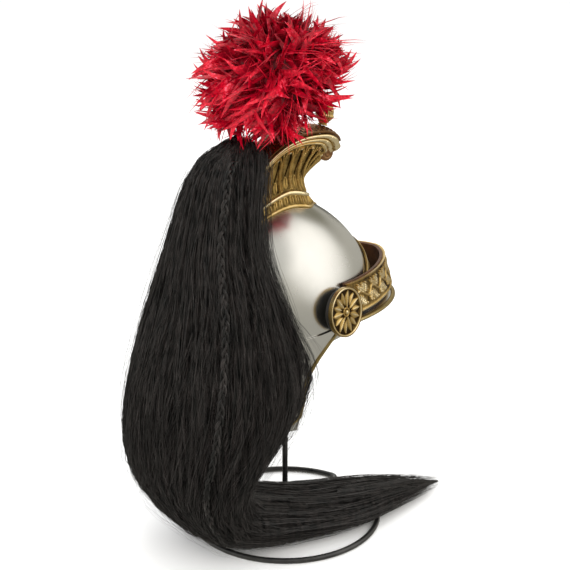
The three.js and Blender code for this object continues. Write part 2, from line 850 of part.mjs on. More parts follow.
const tuftPlace = new THREE.Matrix4().makeRotationX(-rad(plume.tilt)).setPosition(plumeCentre);
const plumeCore = new THREE.IcosahedronGeometry(1, 1);
plumeCore.scale(plume.coreHalfWidth, plume.coreHalfLength, plume.coreHalfHeight);
plumeCore.applyMatrix4(tuftPlace);
const stemFoot = plume.seatDepth + clearance;
const plumeStem = placed(turned([
  [0, stemFoot],
  [plume.stemRadius, stemFoot],
  [plume.stemRadius, plume.centreRise],
  [0, plume.centreRise],
], 8), upright);

const featherTable = [
  // share of the reach, share of the half width
  [0.40, 0.90],
  [0.70, 1.00],
  [0.98, 0.12],
];
const featherFlatness = 0.4;
const featherTwist = 0.3;
const swellTurn = 2.4;
const feathers = steps(plume.feathers - 1).map((_, i) => {
  const way = spread(plume.feathers, i);
  const reach = plume.reach * (1 - plume.swell * (1 - Math.sin(i * swellTurn)));
  const droop = plume.droop * (1 - way.z) * reach;
  const at = (share) => vec(way.x, way.y, way.z * plume.heightShare)
    .multiplyScalar(reach * share)
    .add(vec(0, 0, -droop * share * share))
    .applyMatrix4(tuftPlace);
  return lock(
    featherTable.map(([share]) => at(share)),
    featherTable.map(([, width]) => width * plume.featherWidth / 2),
    featherFlatness,
    vec(way.y, -way.x, featherTwist),
  );
});
const tuft = joined([solidOfGeometry(plumeCore), ...feathers]);

// Mane: black horsehair rooted behind the plume, hung over the back and swept forward below

const maneTable = [
  // drop, back, side, half width, half depth (shares of the mane's sizes), lean in degrees
  [0.000, 0.40, 0.00, 0.06, 0.09, 0],
  [0.019, 0.43, 0.00, 0.17, 0.26, 0],
  [0.051, 0.49, 0.00, 0.27, 0.41, 0],
  [0.120, 0.584, 0.00, 0.41, 0.43, 0],
  [0.236, 0.65, 0.00, 0.54, 0.50, 0],
  [0.375, 0.65, 0.00, 0.80, 0.68, 0],
  [0.537, 0.65, 0.00, 0.95, 0.97, 0],
  [0.653, 0.77, 0.00, 0.97, 0.88, 0],
  [0.757, 0.90, 0.04, 0.90, 0.67, 10],
  [0.847, 0.88, 0.05, 0.78, 0.45, 35],
  [0.903, 0.74, -0.08, 0.63, 0.36, 62],
  [0.930, 0.39, -0.21, 0.52, 0.31, 80],
  [0.944, 0.024, -0.33, 0.44, 0.25, 88],
  [0.950, -0.30, -0.42, 0.39, 0.22, 90],
  [0.960, -0.766, -0.43, 0.27, 0.14, 90],
  [0.970, -1.094, -0.45, 0.16, 0.08, 90],
  [0.983, -1.45, -0.475, 0.02, 0.02, 90],
];
const maneRootZ = crownZ + mane.rootAboveCrown;
const maneColumns = [0, 1, 2, 3, 4, 5].map((index) => column(maneTable, index));

// The hair's outer face: a share along its length, a turn round it, and a lift off it
function manePoint(along, turn, lift = 0) {
  const [drop, back, side, width, depth, lean] = maneColumns.map((at) => at(along));
  const tilt = rad(lean);
  const outward = vec(0, Math.cos(tilt), -Math.sin(tilt));
  const halfWidth = mane.halfWidth * width + lift;
  const halfDepth = mane.halfDepth * depth + lift;
  return vec(side * mane.halfWidth, back * mane.backY, maneRootZ * (1 - drop))
    .add(vec(Math.cos(turn) * halfWidth, 0, 0))
    .addScaledVector(outward, Math.sin(turn) * halfDepth);
}

const maneSides = mane.locks * 2;
const maneRings = (lift) => steps(18).map((along) => Array.from({ length: maneSides }, (_, j) => {
  const turn = (j / maneSides) * 2 * Math.PI;
  const middle = manePoint(along, 0).add(manePoint(along, Math.PI)).multiplyScalar(0.5);
  return manePoint(along, turn, lift).lerp(middle, j % 2 ? mane.grooveDepth : 0);
}));

// Loose ends of locks that leave the backing at the bottom of the fall and along the tail
const lockEnds = [
  // share along the hair where the lock leaves, turn in degrees, shares of the tip's length
  // ahead and outward
  [0.42, 212, 1.0, -0.05],
  [0.47, 184, 0.9, -0.12],
  [0.48, 90, 0.8, -0.12],
  [0.47, -4, 0.9, -0.12],
  [0.42, -32, 1.0, -0.05],
  [0.84, 180, 0.8, 0.04],
];
const tipRoot = { back: 0.06, depth: -6 };
const tipWidths = [1, 1.1, 0.15].map((share) => share * mane.tipWidth / 2);
const tipFlatness = 0.7;
const looseLocks = lockEnds.map(([along, turn, length, push]) => {
  const from = manePoint(along - tipRoot.back, rad(turn), tipRoot.depth);
  const leave = manePoint(along, rad(turn), tipRoot.depth / 2);
  const ahead = vec(0, 0, 0).subVectors(leave, from).normalize();
  const outward = vec(0, 0, 0).subVectors(leave, manePoint(along, rad(turn + 180))).normalize();
  const tip = leave.clone().addScaledVector(ahead, mane.tipLength * length)
    .addScaledVector(outward, mane.tipLength * length * push);
  return lock([from, leave, tip], tipWidths, tipFlatness, outward);
});

// What the hair lies on or round: it keeps clear of each
const bedSides = 22;
const guardRoom = loft(guardTable.map(([drop, narrowing, flare]) => {
  const halfWidth = skull.halfWidth + guardSeat + mane.standOff - neckGuard.taper * narrowing;
  const halfLength = skull.halfLength + guardSeat + mane.standOff + neckGuard.flare * flare;
  const level = mix(skull.browHeight + mane.standOff * 2, guardBottomZ - mane.standOff, drop);
  return steps(bedSides).slice(1).map((share) => vec(
    halfWidth * Math.cos(share * 2 * Math.PI),
    skull.centreY + halfLength * Math.sin(share * 2 * Math.PI),
    level,
  ));
}));
const crestGrown = -crest.beadDepth - crest.fluteDepth - clearance;
const crestRoom = loft(crestRings(16, crestCoreRows, crestGrown, false))
  .add(roomOf(topPlateRows, crest.plateWall));
const hairBed = joined([
  domeSolid(mane.standOff, (y) => skullRimZ(y) - belowRim / 4, bedSides),
  guardRoom,
  crestRoom,
]);

const braidLength = maneRootZ * (1 + braid.slack);
const braidShares = steps(Math.round(braidLength / braid.pitch));
const braidAlong = (share) => mix(braid.top, braid.end, share);
const braidLine = braidShares.map((share) => manePoint(
  braidAlong(share),
  rad(braid.turn - braid.sway * Math.sin(share * Math.PI)),
  braid.halfThickness + clearance * 2,
));
const maneBody = joined([loft(maneRings(0)), ...looseLocks]).subtract(hairBed);

// The plume's lowest feathers end on the crest, the socket and the top of the hair
const socketRadius = plume.socketRadius * socketFoot + clearance;
const socketTop = plume.socketHeight + clearance;
const socketRoom = placed(turned([
  [0, 0], [socketRadius, 0], [socketRadius, socketTop], [0, socketTop],
], 10), upright);
const tuftBed = joined([crestRoom, socketRoom, loft(maneRings(clearance))]);
addPart('plume', largestOf(tuft.subtract(tuftBed)).add(plumeStem), ...finish.feather);

// Stand: a ring of wire on the floor, its end turned in under a post that is welded on it

const wireSides = 8;
const wireRadius = stand.wire / 2;
const sectionRadius = wireRadius / Math.cos(Math.PI / wireSides);
const capHeight = skullZ(0, 0, -skull.wall);

function wireRings(points, radius) {
  const over = vec(0, 0, 1);
  return points.map((point, i) => {
    const ahead = points[Math.min(i + 1, points.length - 1)];
    const behind = points[Math.max(i - 1, 0)];
    const side = vec(0, 0, 0).subVectors(ahead, behind).cross(over).normalize();
    return Array.from({ length: wireSides }, (_, k) => {
      const angle = ((k + 0.5) / wireSides) * 2 * Math.PI;
      return point.clone().addScaledVector(side, Math.cos(angle) * radius)
        .addScaledVector(over, Math.sin(angle) * radius);
    });
  });
}

function wireSolid(radius) {
  const spoke = rad(stand.spokeTurn);
  const cut = (stand.wire + stand.cutEndGap) / stand.ringRadius;
  const bend = stand.bendRadius;
  const bendTurn = bend / stand.ringRadius;
  const onFloor = (distance, angle) => vec(Math.cos(angle), Math.sin(angle), 0)
    .multiplyScalar(distance).setZ(wireRadius);
  const ring = steps(27).map((share) => onFloor(
    stand.ringRadius,
    mix(spoke - cut, spoke + bendTurn - 2 * Math.PI, share),
  ));
  const turnIn = steps(3).slice(1).map((share) => onFloor(
    stand.ringRadius - bend * (1 - Math.cos(share * Math.PI / 2)),
    spoke + bendTurn * (1 - Math.sin(share * Math.PI / 2)),
  ));
  const base = loft(wireRings([...ring, ...turnIn, onFloor(-stand.spokePastPost, spoke)], radius));
  const top = capHeight - stand.capThickness - clearance;
  const post = turned([[0, wireRadius], [radius, wireRadius], [radius, top], [0, top]], wireSides);
  return base.add(post);
}

addPart('stand_wire', wireSolid(sectionRadius), ...finish.blackWire);

// A padded cap under the crown of the skull carries the helmet on the post
const capBlank = turned([
  [0, capHeight - stand.capThickness], [stand.wire, capHeight - stand.capThickness],
  [stand.capRadius, capHeight - stand.capThickness * 2],
  [stand.capRadius, capHeight + stand.capThickness], [0, capHeight + stand.capThickness],
], 12);
const capRoom = domeSolid(-skull.wall - clearance, (y) => skullRimZ(y) - belowRim);
addPart('stand_cap', capBlank.intersect(capRoom), ...finish.blackLeather);

const wireRoom = wireSolid(sectionRadius + clearance);
addPart('mane', largestOf(maneBody.subtract(wireRoom)), ...finish.horsehair);

const braidRings = braidLine.map((point, i) => {
  const ahead = braidLine[Math.min(i + 1, braidLine.length - 1)];
  const behind = braidLine[Math.max(i - 1, 0)];
  const tangent = vec(0, 0, 0).subVectors(ahead, behind).normalize();
  const opposite = manePoint(braidAlong(braidShares[i]), rad(braid.turn + 180));
  const outward = vec(0, 0, 0).subVectors(point, opposite);
  const across = vec(0, 0, 0).crossVectors(tangent, outward).normalize();
  const out = vec(0, 0, 0).crossVectors(across, tangent);
  const taper = 1 - braid.taper * (i / braidLine.length) ** 3;
  const shift = (i % 2 ? 1 : -1) * braid.weave;
  return steps(6).slice(1).map((turn) => point.clone()
    .addScaledVector(across, (Math.cos(turn * 2 * Math.PI) * braid.halfWidth + shift) * taper)
    .addScaledVector(out, Math.sin(turn * 2 * Math.PI) * braid.halfThickness * taper));
});
addPart('mane_braid', loft(braidRings).subtract(wireRoom), ...finish.horsehair);

export default group;
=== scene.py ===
import math

import bpy
import numpy as np
from mathutils import Matrix, Vector


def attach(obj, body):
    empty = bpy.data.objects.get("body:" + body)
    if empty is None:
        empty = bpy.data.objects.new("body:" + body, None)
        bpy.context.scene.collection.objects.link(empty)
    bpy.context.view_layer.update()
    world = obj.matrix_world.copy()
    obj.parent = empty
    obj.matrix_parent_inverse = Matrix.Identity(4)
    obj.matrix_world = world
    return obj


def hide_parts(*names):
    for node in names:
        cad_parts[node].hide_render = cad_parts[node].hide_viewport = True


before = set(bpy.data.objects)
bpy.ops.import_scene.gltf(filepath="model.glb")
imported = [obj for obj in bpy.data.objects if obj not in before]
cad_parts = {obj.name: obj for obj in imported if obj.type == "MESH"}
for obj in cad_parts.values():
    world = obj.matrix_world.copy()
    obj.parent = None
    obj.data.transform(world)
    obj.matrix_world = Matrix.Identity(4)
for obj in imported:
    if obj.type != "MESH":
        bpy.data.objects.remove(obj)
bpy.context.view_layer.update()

# Skull
# The bowl of the helmet: one steel sheet raised to a dome and polished to a mirror. Its rim is
# almost level at the brow and slopes down to the nape, and everything else is fixed to it.
MM = 0.001
CLEARANCE = 0.3 * MM
BROW = 255 * MM
SKULL_RISE = 112 * MM
SKULL_HALF_WIDTH = 85 * MM
SKULL_HALF_LENGTH = 103 * MM
SKULL_CENTRE_Y = 8 * MM
SKULL_FULLNESS = 1.6
SKULL_WALL = 1.3 * MM
RIM_DROP_FRONT, RIM_DROP_BACK = 3 * MM, 30 * MM
SCRATCH_DEPTH = 0.04
BOWL_ROWS, BOWL_COLUMNS, BOWL_CROWN = 40, 128, 0.995
RIM_ROLL = (
    # share of the wall, how far the edge is rounded off there
    (0, 0.35 * MM),
    (0.25, 0.05 * MM),
    (0.75, 0.05 * MM),
    (1, 0.35 * MM),
)
SHARPEST_SMOOTH_EDGE = 42
PLAIN_RELIEF, INNER_RELIEF = 0.62, 0.35


def mix(a, b, share):
    return a + (b - a) * share


def skull_rim_z(y):
    share = (y - SKULL_CENTRE_Y + SKULL_HALF_LENGTH) / (2 * SKULL_HALF_LENGTH)
    fall = np.sin(np.clip(share, 0, 1) * np.pi / 2)
    return BROW - mix(RIM_DROP_FRONT, RIM_DROP_BACK, fall)


def skull_point(angle, share, grow=0.0):
    """The bowl's outer face at an angle from +X and a share of the way from rim to crown."""
    radius = np.cos(share * np.pi / 2)
    height = (SKULL_RISE + grow) * np.sqrt(np.maximum(1 - radius ** SKULL_FULLNESS, 0))
    return np.stack([
        (SKULL_HALF_WIDTH + grow) * radius * np.cos(angle),
        SKULL_CENTRE_Y + (SKULL_HALF_LENGTH + grow) * radius * np.sin(angle),
        BROW + height + 0 * angle,
    ], axis=-1)


def skull_outward(angle):
    """The level way out from the bowl's side at an angle from +X."""
    return np.stack([np.cos(angle) / SKULL_HALF_WIDTH, np.sin(angle) / SKULL_HALF_LENGTH,
                     0 * angle], axis=-1)


def skull_z(x, y, grow=0.0):
    """The height of the bowl's outer face over a point in plan."""
    across = x / (SKULL_HALF_WIDTH + grow)
    along = (y - SKULL_CENTRE_Y) / (SKULL_HALF_LENGTH + grow)
    radius = np.minimum(np.hypot(across, along), 1)
    return BROW + (SKULL_RISE + grow) * np.sqrt(1 - radius ** SKULL_FULLNESS)


def wire(tree, kind, inputs=None, **settings):
    """A node with its settings; each named input takes another node's socket or a value."""
    node = tree.nodes.new(kind)
    for name, value in settings.items():
        setattr(node, name, value)
    for name, source in (inputs or {}).items():
        socket = node.inputs[name]
        if isinstance(source, bpy.types.NodeSocket):
            tree.links.new(source, socket)
        else:
            socket.default_value = source
    return node


def group_of(kind, name, inputs, outputs):
    """A node group with named inputs and outputs, and its two end nodes."""
    group = bpy.data.node_groups.new(name, kind)
    for label, socket_type, value in inputs:
        socket = group.interface.new_socket(label, in_out="INPUT", socket_type=socket_type)
        if value is not None:
            socket.default_value = value
    for label, socket_type in outputs:
        group.interface.new_socket(label, in_out="OUTPUT", socket_type=socket_type)
    return group, group.nodes.new("NodeGroupInput"), group.nodes.new("NodeGroupOutput")


def calc(tree, operation, a, b, **settings):
    """A sum, product or power of two numbers."""
    return wire(tree, "ShaderNodeMath", {0: a, 1: b}, operation=operation, **settings).outputs[0]


def object_place(tree):
    return wire(tree, "ShaderNodeTexCoord").outputs["Object"]


def noise(tree, place, scale, detail, **more):
    """Cloudy noise over a place, 0 to 1."""
    return wire(tree, "ShaderNodeTexNoise", {
        "Vector": place, "Scale": scale, "Detail": detail, **more,
    }).outputs["Fac"]


def remap(tree, value, low, high, to_low=0.0, to_high=1.0, **settings):
    """A value stretched from one range to another and held inside it."""
    return wire(tree, "ShaderNodeMapRange", {
        "Value": value, "From Min": low, "From Max": high, "To Min": to_low, "To Max": to_high,
    }, **settings).outputs["Result"]


def tones(tree, value, *stops):
    """Colours along a value: pairs of a position and a colour."""
    ramp = wire(tree, "ShaderNodeValToRGB", {"Fac": value})
    elements = ramp.color_ramp.elements
    for k, (position, colour) in enumerate(stops):
        stop = elements[k] if k < 2 else elements.new(position)
        stop.position = position
        stop.color = (*colour, 1)
    return ramp.outputs["Color"]


def blend(tree, share, first, second):
    """One colour into another."""
    return wire(tree, "ShaderNodeMix", {0: share, 6: first, 7: second},
                data_type="RGBA").outputs[2]


def dress(tree, shader, height, bump, depth, **sockets):
    """Links colour and gloss to a shader, with a bump made from a height."""
    relief = wire(tree, "ShaderNodeBump", {"Height": height, "Strength": bump, "Distance": depth})
    tree.links.new(relief.outputs["Normal"], shader.inputs["Normal"])
    for label, source in sockets.items():
        tree.links.new(source, shader.inputs[label.replace("_", " ")])


def handled_surface():
    """Uneven gloss, fine polishing scratches and faint dents, for anything that is handled."""
    group, given, result = group_of("ShaderNodeTree", "handled surface", [
        ("Smooth", "NodeSocketFloat", 0.1),
        ("Rough", "NodeSocketFloat", 0.3),
        ("Patch Scale", "NodeSocketFloat", 40.0),
        ("Scratch Scale", "NodeSocketFloat", 500.0),
        ("Dent Scale", "NodeSocketFloat", 18.0),
    ], [("Roughness", "NodeSocketFloat"), ("Height", "NodeSocketFloat")])
    place = object_place(group)
    patches = noise(group, place, given.outputs["Patch Scale"], 6.0, Roughness=0.62)
    gloss = remap(group, patches, 0.3, 0.72, given.outputs["Smooth"], given.outputs["Rough"])
    stretched = wire(group, "ShaderNodeMapping", {"Vector": place, "Scale": (1.0, 1.0, 0.06)})
    scratches = noise(group, stretched.outputs["Vector"], given.outputs["Scratch Scale"], 3.0)
    dents = noise(group, place, given.outputs["Dent Scale"], 1.0)
    group.links.new(gloss, result.inputs["Roughness"])
    group.links.new(calc(group, "ADD", calc(group, "MULTIPLY", scratches, SCRATCH_DEPTH), dents),
                    result.inputs["Height"])
    return group


HANDLED = handled_surface()


def new_finish(name, **fixed):
    """A material whose Principled shader has these fixed values set on its own sockets."""
    finish = bpy.data.materials.new(name)
    finish.use_nodes = True
    shader = finish.node_tree.nodes["Principled BSDF"]
    for label, value in fixed.items():
        shader.inputs[label.replace("_", " ")].default_value = value
    return finish, finish.node_tree, shader


def add_handling(tree, shader, bump, depth, **values):
    """Puts the handled surface's gloss and bump on a material."""
    handled = tree.nodes.new("ShaderNodeGroup")
    handled.node_tree = HANDLED
    for label, value in values.items():
        handled.inputs[label.replace("_", " ")].default_value = value
    dress(tree, shader, handled.outputs["Height"], bump, depth,
          Roughness=handled.outputs["Roughness"])


def steel_finish():
    finish, tree, shader = new_finish("polished steel", Metallic=1.0)
    add_handling(tree, shader, 0.5, 0.35 * MM, Smooth=0.17, Rough=0.30, Patch_Scale=20.0,
                 Scratch_Scale=900.0, Dent_Scale=16.0)
    clouds = noise(tree, object_place(tree), 16.0, 5.0)
    colour = tones(tree, clouds, (0.3, (0.70, 0.69, 0.655)), (0.7, (0.80, 0.79, 0.765)))
    tree.links.new(colour, shader.inputs["Base Color"])
    return finish


STEEL = steel_finish()


def set_relief(mesh, heights):
    """How high the ornament stands at each point, 0 to 1, for the finishes that read it."""
    level = mesh.attributes.new("relief", "FLOAT", "POINT")
    level.data.foreach_set("value", np.asarray(heights, float).ravel())


def keep(piece, slot, *nodes):
    """Smooth shading, the body it rides on, and the solids that it stands for, which it hides. The
    slot is not used.
    """
    mesh = piece.data
    mesh.set_sharp_from_angle(angle=math.radians(SHARPEST_SMOOTH_EDGE))
    if "relief" not in mesh.attributes:
        set_relief(mesh, np.full(len(mesh.vertices), PLAIN_RELIEF))
    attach(piece, "root")
    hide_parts(*nodes)


def signed_volume(mesh):
    """The volume inside a closed skin, negative where its faces look inward."""
    mesh.calc_loop_triangles()
    corners = np.empty(len(mesh.loop_triangles) * 3, int)
    mesh.loop_triangles.foreach_get("vertices", corners)
    places = np.empty(len(mesh.vertices) * 3)
    mesh.vertices.foreach_get("co", places)
    a, b, c = places.reshape(-1, 3)[corners].reshape(-1, 3, 3).transpose(1, 0, 2)
    return float(np.sum(a * np.cross(b, c)) / 6)


def added(name, data):
    """An object for a mesh, lamp or camera, put in the scene."""
    thing = bpy.data.objects.new(name, data)
    bpy.context.scene.collection.objects.link(thing)
    return thing


def mesh_piece(name, points, faces, finish, relief=None):
    """An object from a list of points and faces, with how high its ornament stands, 0 to 1."""
    mesh = bpy.data.meshes.new(name)
    mesh.from_pydata(np.asarray(points, float).reshape(-1, 3).tolist(), [], faces)
    if signed_volume(mesh) < 0:
        mesh.flip_normals()
    mesh.materials.append(finish)
    mesh.polygons.foreach_set("use_smooth", np.ones(len(mesh.polygons), bool))
    if relief is not None:
        set_relief(mesh, relief)
    return added(name, mesh)


def skin(name, rings, finish, relief=None):
    """A closed skin over rings of points, one to the next, with a flat face on each end."""
    rings = np.asarray(rings, float)
    rows, columns = rings.shape[:2]
    i, j = np.meshgrid(np.arange(rows - 1), np.arange(columns), indexing="ij")
    a = i * columns + j
    b = i * columns + (j + 1) % columns
    faces = np.stack([a, b, b + columns, a + columns], axis=-1).reshape(-1, 4).tolist()
    last = (rows - 1) * columns
    faces.append(list(range(columns))[::-1])
    faces.append([last + k for k in range(columns)])
    return mesh_piece(name, rings, faces, finish, relief)


def bowl_rings():
    turns = np.linspace(0, 2 * np.pi, BOWL_COLUMNS, endpoint=False)
    heights = np.linspace(0, 1, BOWL_ROWS)[:-1] ** 0.9 * BOWL_CROWN
    outer = [skull_point(turns, share) for share in heights]
    inner = [skull_point(turns, share, -SKULL_WALL) for share in heights]
    rim_outer = skull_point(turns, 0.0)
    rim_inner = skull_point(turns, 0.0, -SKULL_WALL)
    rim_z = skull_rim_z(rim_outer[:, 1])
    edge = []
    for share, drop in RIM_ROLL:
        ring = mix(rim_outer, rim_inner, share)
        ring[:, 2] = rim_z + drop
        edge.append(ring)
    return outer[::-1] + edge + inner


keep(skin("skull_bowl", bowl_rings(), STEEL), "steel", "skull")

# Neck guard
# A second steel sheet that laps the back of the bowl, is cut back round the ears and flares
# over the collar. It is riveted on, and a folded brass strip protects its free edge.
GUARD_WALL = 1.2 * MM
GUARD_SEAT = CLEARANCE + GUARD_WALL + 0.5 * MM
GUARD_OVERLAP = 13 * MM
GUARD_DROP = 95 * MM
GUARD_TAPER, GUARD_FLARE = 9 * MM, 18 * MM
GUARD_FRONT_Y, GUARD_SIDE_CUT = -10 * MM, 48 * MM
GUARD_TABLE = (
    # drop, narrowing, flare, side cut, each as a share of its size
    (0.00, 0.00, 0.00, 0.00),
    (0.15, 0.00, 0.02, 0.40),
    (0.30, 0.28, 0.07, 0.64),
    (0.48, 0.60, 0.22, 0.80),
    (0.72, 0.85, 0.52, 0.86),
    (1.00, 1.00, 1.00, 1.00),
)
GUARD_ROWS, GUARD_COLUMNS = 40, 120
GUARD_BOTTOM_Z = BROW - RIM_DROP_BACK + GUARD_OVERLAP - GUARD_DROP


def curve_through(table, index):
    """One column of a table as a smooth curve over the shares 0 to 1."""
    values = np.array([row[index] for row in table], float)

    def at(share):
        share = np.asarray(share, float)
        step = share * (len(values) - 1)
        cell = np.clip(np.floor(step).astype(int), 0, len(values) - 1)
        t = step - cell
        p0 = values[np.maximum(cell - 1, 0)]
        p1 = values[cell]
        p2 = values[np.minimum(cell + 1, len(values) - 1)]
        p3 = values[np.minimum(cell + 2, len(values) - 1)]
        v0, v1 = (p2 - p0) / 2, (p3 - p1) / 2
        return (2 * p1 - 2 * p2 + v0 + v1) * t ** 3 + (3 * p2 - 3 * p1 - 2 * v0 - v1) * t ** 2 \
            + v0 * t + p1

    return at


def guard_grid(rows, columns):
    drop, narrowing, flare, cut = [curve_through(GUARD_TABLE, k) for k in range(4)]
    grid = []
    for share in np.linspace(0, 1, rows):
        half_width = SKULL_HALF_WIDTH + GUARD_SEAT - GUARD_TAPER * narrowing(share)
        half_length = SKULL_HALF_LENGTH + GUARD_SEAT + GUARD_FLARE * flare(share)
        edge_y = GUARD_FRONT_Y + GUARD_SIDE_CUT * cut(share)
        edge = math.asin((edge_y - SKULL_CENTRE_Y) / half_length)
        angle = np.linspace(math.pi - edge, edge, columns)
        y = SKULL_CENTRE_Y + half_length * np.sin(angle)
        top = skull_rim_z(y) + GUARD_OVERLAP
        z = mix(top, GUARD_BOTTOM_Z, np.clip(drop(share), 0, 1))
        grid.append(np.stack([half_width * np.cos(angle), y, z], axis=-1))
    return np.array(grid)


def unit(vectors):
    return vectors / np.maximum(np.linalg.norm(vectors, axis=-1, keepdims=True), 1e-12)


def grid_normals(grid):
    return unit(np.cross(np.gradient(grid, axis=1), np.gradient(grid, axis=0)))


def sheet_piece(name, grid, wall, finish, height=None, relief=None, inner_step=1):
    """A sheet with its outer face on the grid, raised by the ornament's height.

    Its plain inner face takes only every so many rows and columns."""
    rows, columns = grid.shape[:2]
    normals = grid_normals(grid)
    lift = np.zeros((rows, columns)) if height is None else height
    outer = grid + normals * lift[..., None]
    row_picks = sorted({*range(0, rows, inner_step), rows - 1})
    column_picks = sorted({*range(0, columns, inner_step), columns - 1})
    inner = (grid - normals * wall)[np.ix_(row_picks, column_picks)]

    def cells(first, down, across):
        i, j = np.meshgrid(np.arange(down - 1), np.arange(across - 1), indexing="ij")
        a = first + i * across + j
        return np.stack([a, a + 1, a + 1 + across, a + across], axis=-1).reshape(-1, 4)

    half, inner_columns = rows * columns, len(column_picks)
    faces = cells(0, rows, columns).tolist()
    faces += cells(half, len(row_picks), inner_columns)[:, ::-1].tolist()

    def close(outer_run, inner_run, picks, forward):
        for k, (first, last) in enumerate(zip(picks, picks[1:])):
            face = [inner_run[k], inner_run[k + 1]] + outer_run[first:last + 1][::-1]
            faces.append(face if forward else face[::-1])

    def along(row):
        picked = row_picks.index(row) * inner_columns
        return (list(range(row * columns, (row + 1) * columns)),
                list(range(half + picked, half + picked + inner_columns)))

    def down(column):
        picked = column_picks.index(column)
        return (list(range(column, half, columns)),
                list(range(half + picked, half + len(row_picks) * inner_columns, inner_columns)))

    close(*along(0), column_picks, True)
    close(*along(rows - 1), column_picks, False)
    close(*down(0), row_picks, False)
    close(*down(columns - 1), row_picks, True)
    level = None
    if relief is not None:
        inside = np.full(len(row_picks) * inner_columns, INNER_RELIEF)
        level = np.concatenate([relief.ravel(), inside])
    return mesh_piece(name, np.concatenate([outer.reshape(-1, 3), inner.reshape(-1, 3)]),
                      faces, finish, level)


guard = guard_grid(GUARD_ROWS, GUARD_COLUMNS)
keep(sheet_piece("neck_guard_sheet", guard, GUARD_WALL, STEEL), "steel", "neck_guard")


def patina():
    """Cast or pressed brass: dark and dull in its hollows, bright and smooth where it is rubbed."""
    group, given, result = group_of("ShaderNodeTree", "patina", [
        ("Relief", "NodeSocketFloat", 0.5),
        ("Mottle Scale", "NodeSocketFloat", 120.0),
        ("Hollow Colour", "NodeSocketColor", (0.05, 0.03, 0.012, 1)),
        ("Metal Colour", "NodeSocketColor", (0.5, 0.34, 0.12, 1)),
        ("Rubbed Colour", "NodeSocketColor", (0.86, 0.70, 0.40, 1)),
    ], [("Colour", "NodeSocketColor"), ("Roughness", "NodeSocketFloat"),
        ("Height", "NodeSocketFloat")])
    place = object_place(group)
    mottle = noise(group, place, given.outputs["Mottle Scale"], 7.0, Roughness=0.65)
    grain = remap(group, mottle, 0.25, 0.75, -0.2, 0.2)
    drift = remap(group, noise(group, place, 22.0, 3.0), 0.3, 0.7, -0.12, 0.12)
    level = calc(group, "ADD", given.outputs["Relief"], calc(group, "ADD", grain, drift),
                 use_clamp=True)
    body = blend(group, remap(group, level, 0.12, 0.5), given.outputs["Hollow Colour"],
                 given.outputs["Metal Colour"])
    top = blend(group, remap(group, level, 0.62, 0.98), body, given.outputs["Rubbed Colour"])
    group.links.new(top, result.inputs["Colour"])
    group.links.new(remap(group, level, 0.1, 0.9, 0.6, 0.2), result.inputs["Roughness"])
    group.links.new(mottle, result.inputs["Height"])
    return group


PATINA = patina()


def brass_finish(name, hollow, metal, rubbed, mottle=120.0, bump=0.3):
    finish, tree, shader = new_finish(name, Metallic=1.0)
    aged = tree.nodes.new("ShaderNodeGroup")
    aged.node_tree = PATINA
    relief = wire(tree, "ShaderNodeAttribute", attribute_name="relief")
    tree.links.new(relief.outputs["Fac"], aged.inputs["Relief"])
    aged.inputs["Mottle Scale"].default_value = mottle
    aged.inputs["Hollow Colour"].default_value = (*hollow, 1)
    aged.inputs["Metal Colour"].default_value = (*metal, 1)
    aged.inputs["Rubbed Colour"].default_value = (*rubbed, 1)
    dress(tree, shader, aged.outputs["Height"], bump, 0.25 * MM,
          Base_Color=aged.outputs["Colour"], Roughness=aged.outputs["Roughness"])
    return finish


BRASS = brass_finish("gilt brass", (0.04, 0.022, 0.008), (0.60, 0.40, 0.13),
                     (0.96, 0.80, 0.50))
EDGING_BRASS = brass_finish("edging brass", (0.09, 0.06, 0.02), (0.42, 0.31, 0.12),
                            (0.66, 0.53, 0.28), bump=0.15)

TRIM_GRIP, TRIM_LIP, TRIM_CHEEK = 3.6 * MM, 1.2 * MM, 1.0 * MM
TRIM_CHAMFER, TRIM_FOLD, FOLD_STEPS = 0.3 * MM, 0.4 * MM, 9


def edging_rings(points, normals, inward, wall):
    """Sections of a strip folded over an edge, rounded at the fold."""
    inward = unit(inward - normals * np.sum(inward * normals, axis=-1, keepdims=True))
    out = TRIM_CHEEK + CLEARANCE
    under = wall + out
    middle = (out - under) / 2
    section = [(TRIM_GRIP, 0.0), (TRIM_GRIP, out * 0.8), (TRIM_GRIP - TRIM_CHAMFER, out)]
    for turn in np.linspace(90, 270, FOLD_STEPS):
        depth = math.cos(math.radians(turn)) * (TRIM_LIP + TRIM_FOLD) + TRIM_FOLD
        section.append((depth, middle + math.sin(math.radians(turn)) * (out + under) / 2))
    section += [(TRIM_GRIP - TRIM_CHAMFER, -under), (TRIM_GRIP, -under + out * 0.2),
                (TRIM_GRIP, -wall), (0.0, -wall), (0.0, 0.0)]
    return np.stack([points + inward * depth + normals * height for depth, height in section],
                    axis=1)


def edge_of(grid, path):
    """Places, normals and inward directions at (row, column, row further in, column further in)."""
    normals = grid_normals(grid)
    points = np.array([grid[i, j] for i, j, _, _ in path])
    facing = np.array([normals[i, j] for i, j, _, _ in path])
    inward = np.array([grid[k, l] - grid[i, j] for i, j, k, l in path])
    return points, facing, inward


def fold_strip(name, grid, path, wall):
    rings = edging_rings(*edge_of(grid, path), wall)
    piece = skin(name, rings, EDGING_BRASS)
    for face in piece.data.polygons:
        face.use_smooth = len(face.vertices) != rings.shape[1]
    return piece


side = range(2, GUARD_ROWS - 4)
bottom, far_side = GUARD_ROWS - 1, GUARD_COLUMNS - 1
guard_path = [(i, 0, i, 4) for i in side]
guard_path += [(bottom, j, bottom - 4, j) for j in range(6, GUARD_COLUMNS - 6)]
guard_path += [(i, far_side, i, far_side - 4) for i in reversed(side)]
keep(fold_strip("neck_guard_edging", guard, guard_path, GUARD_WALL), "brass", "neck_guard_trim")

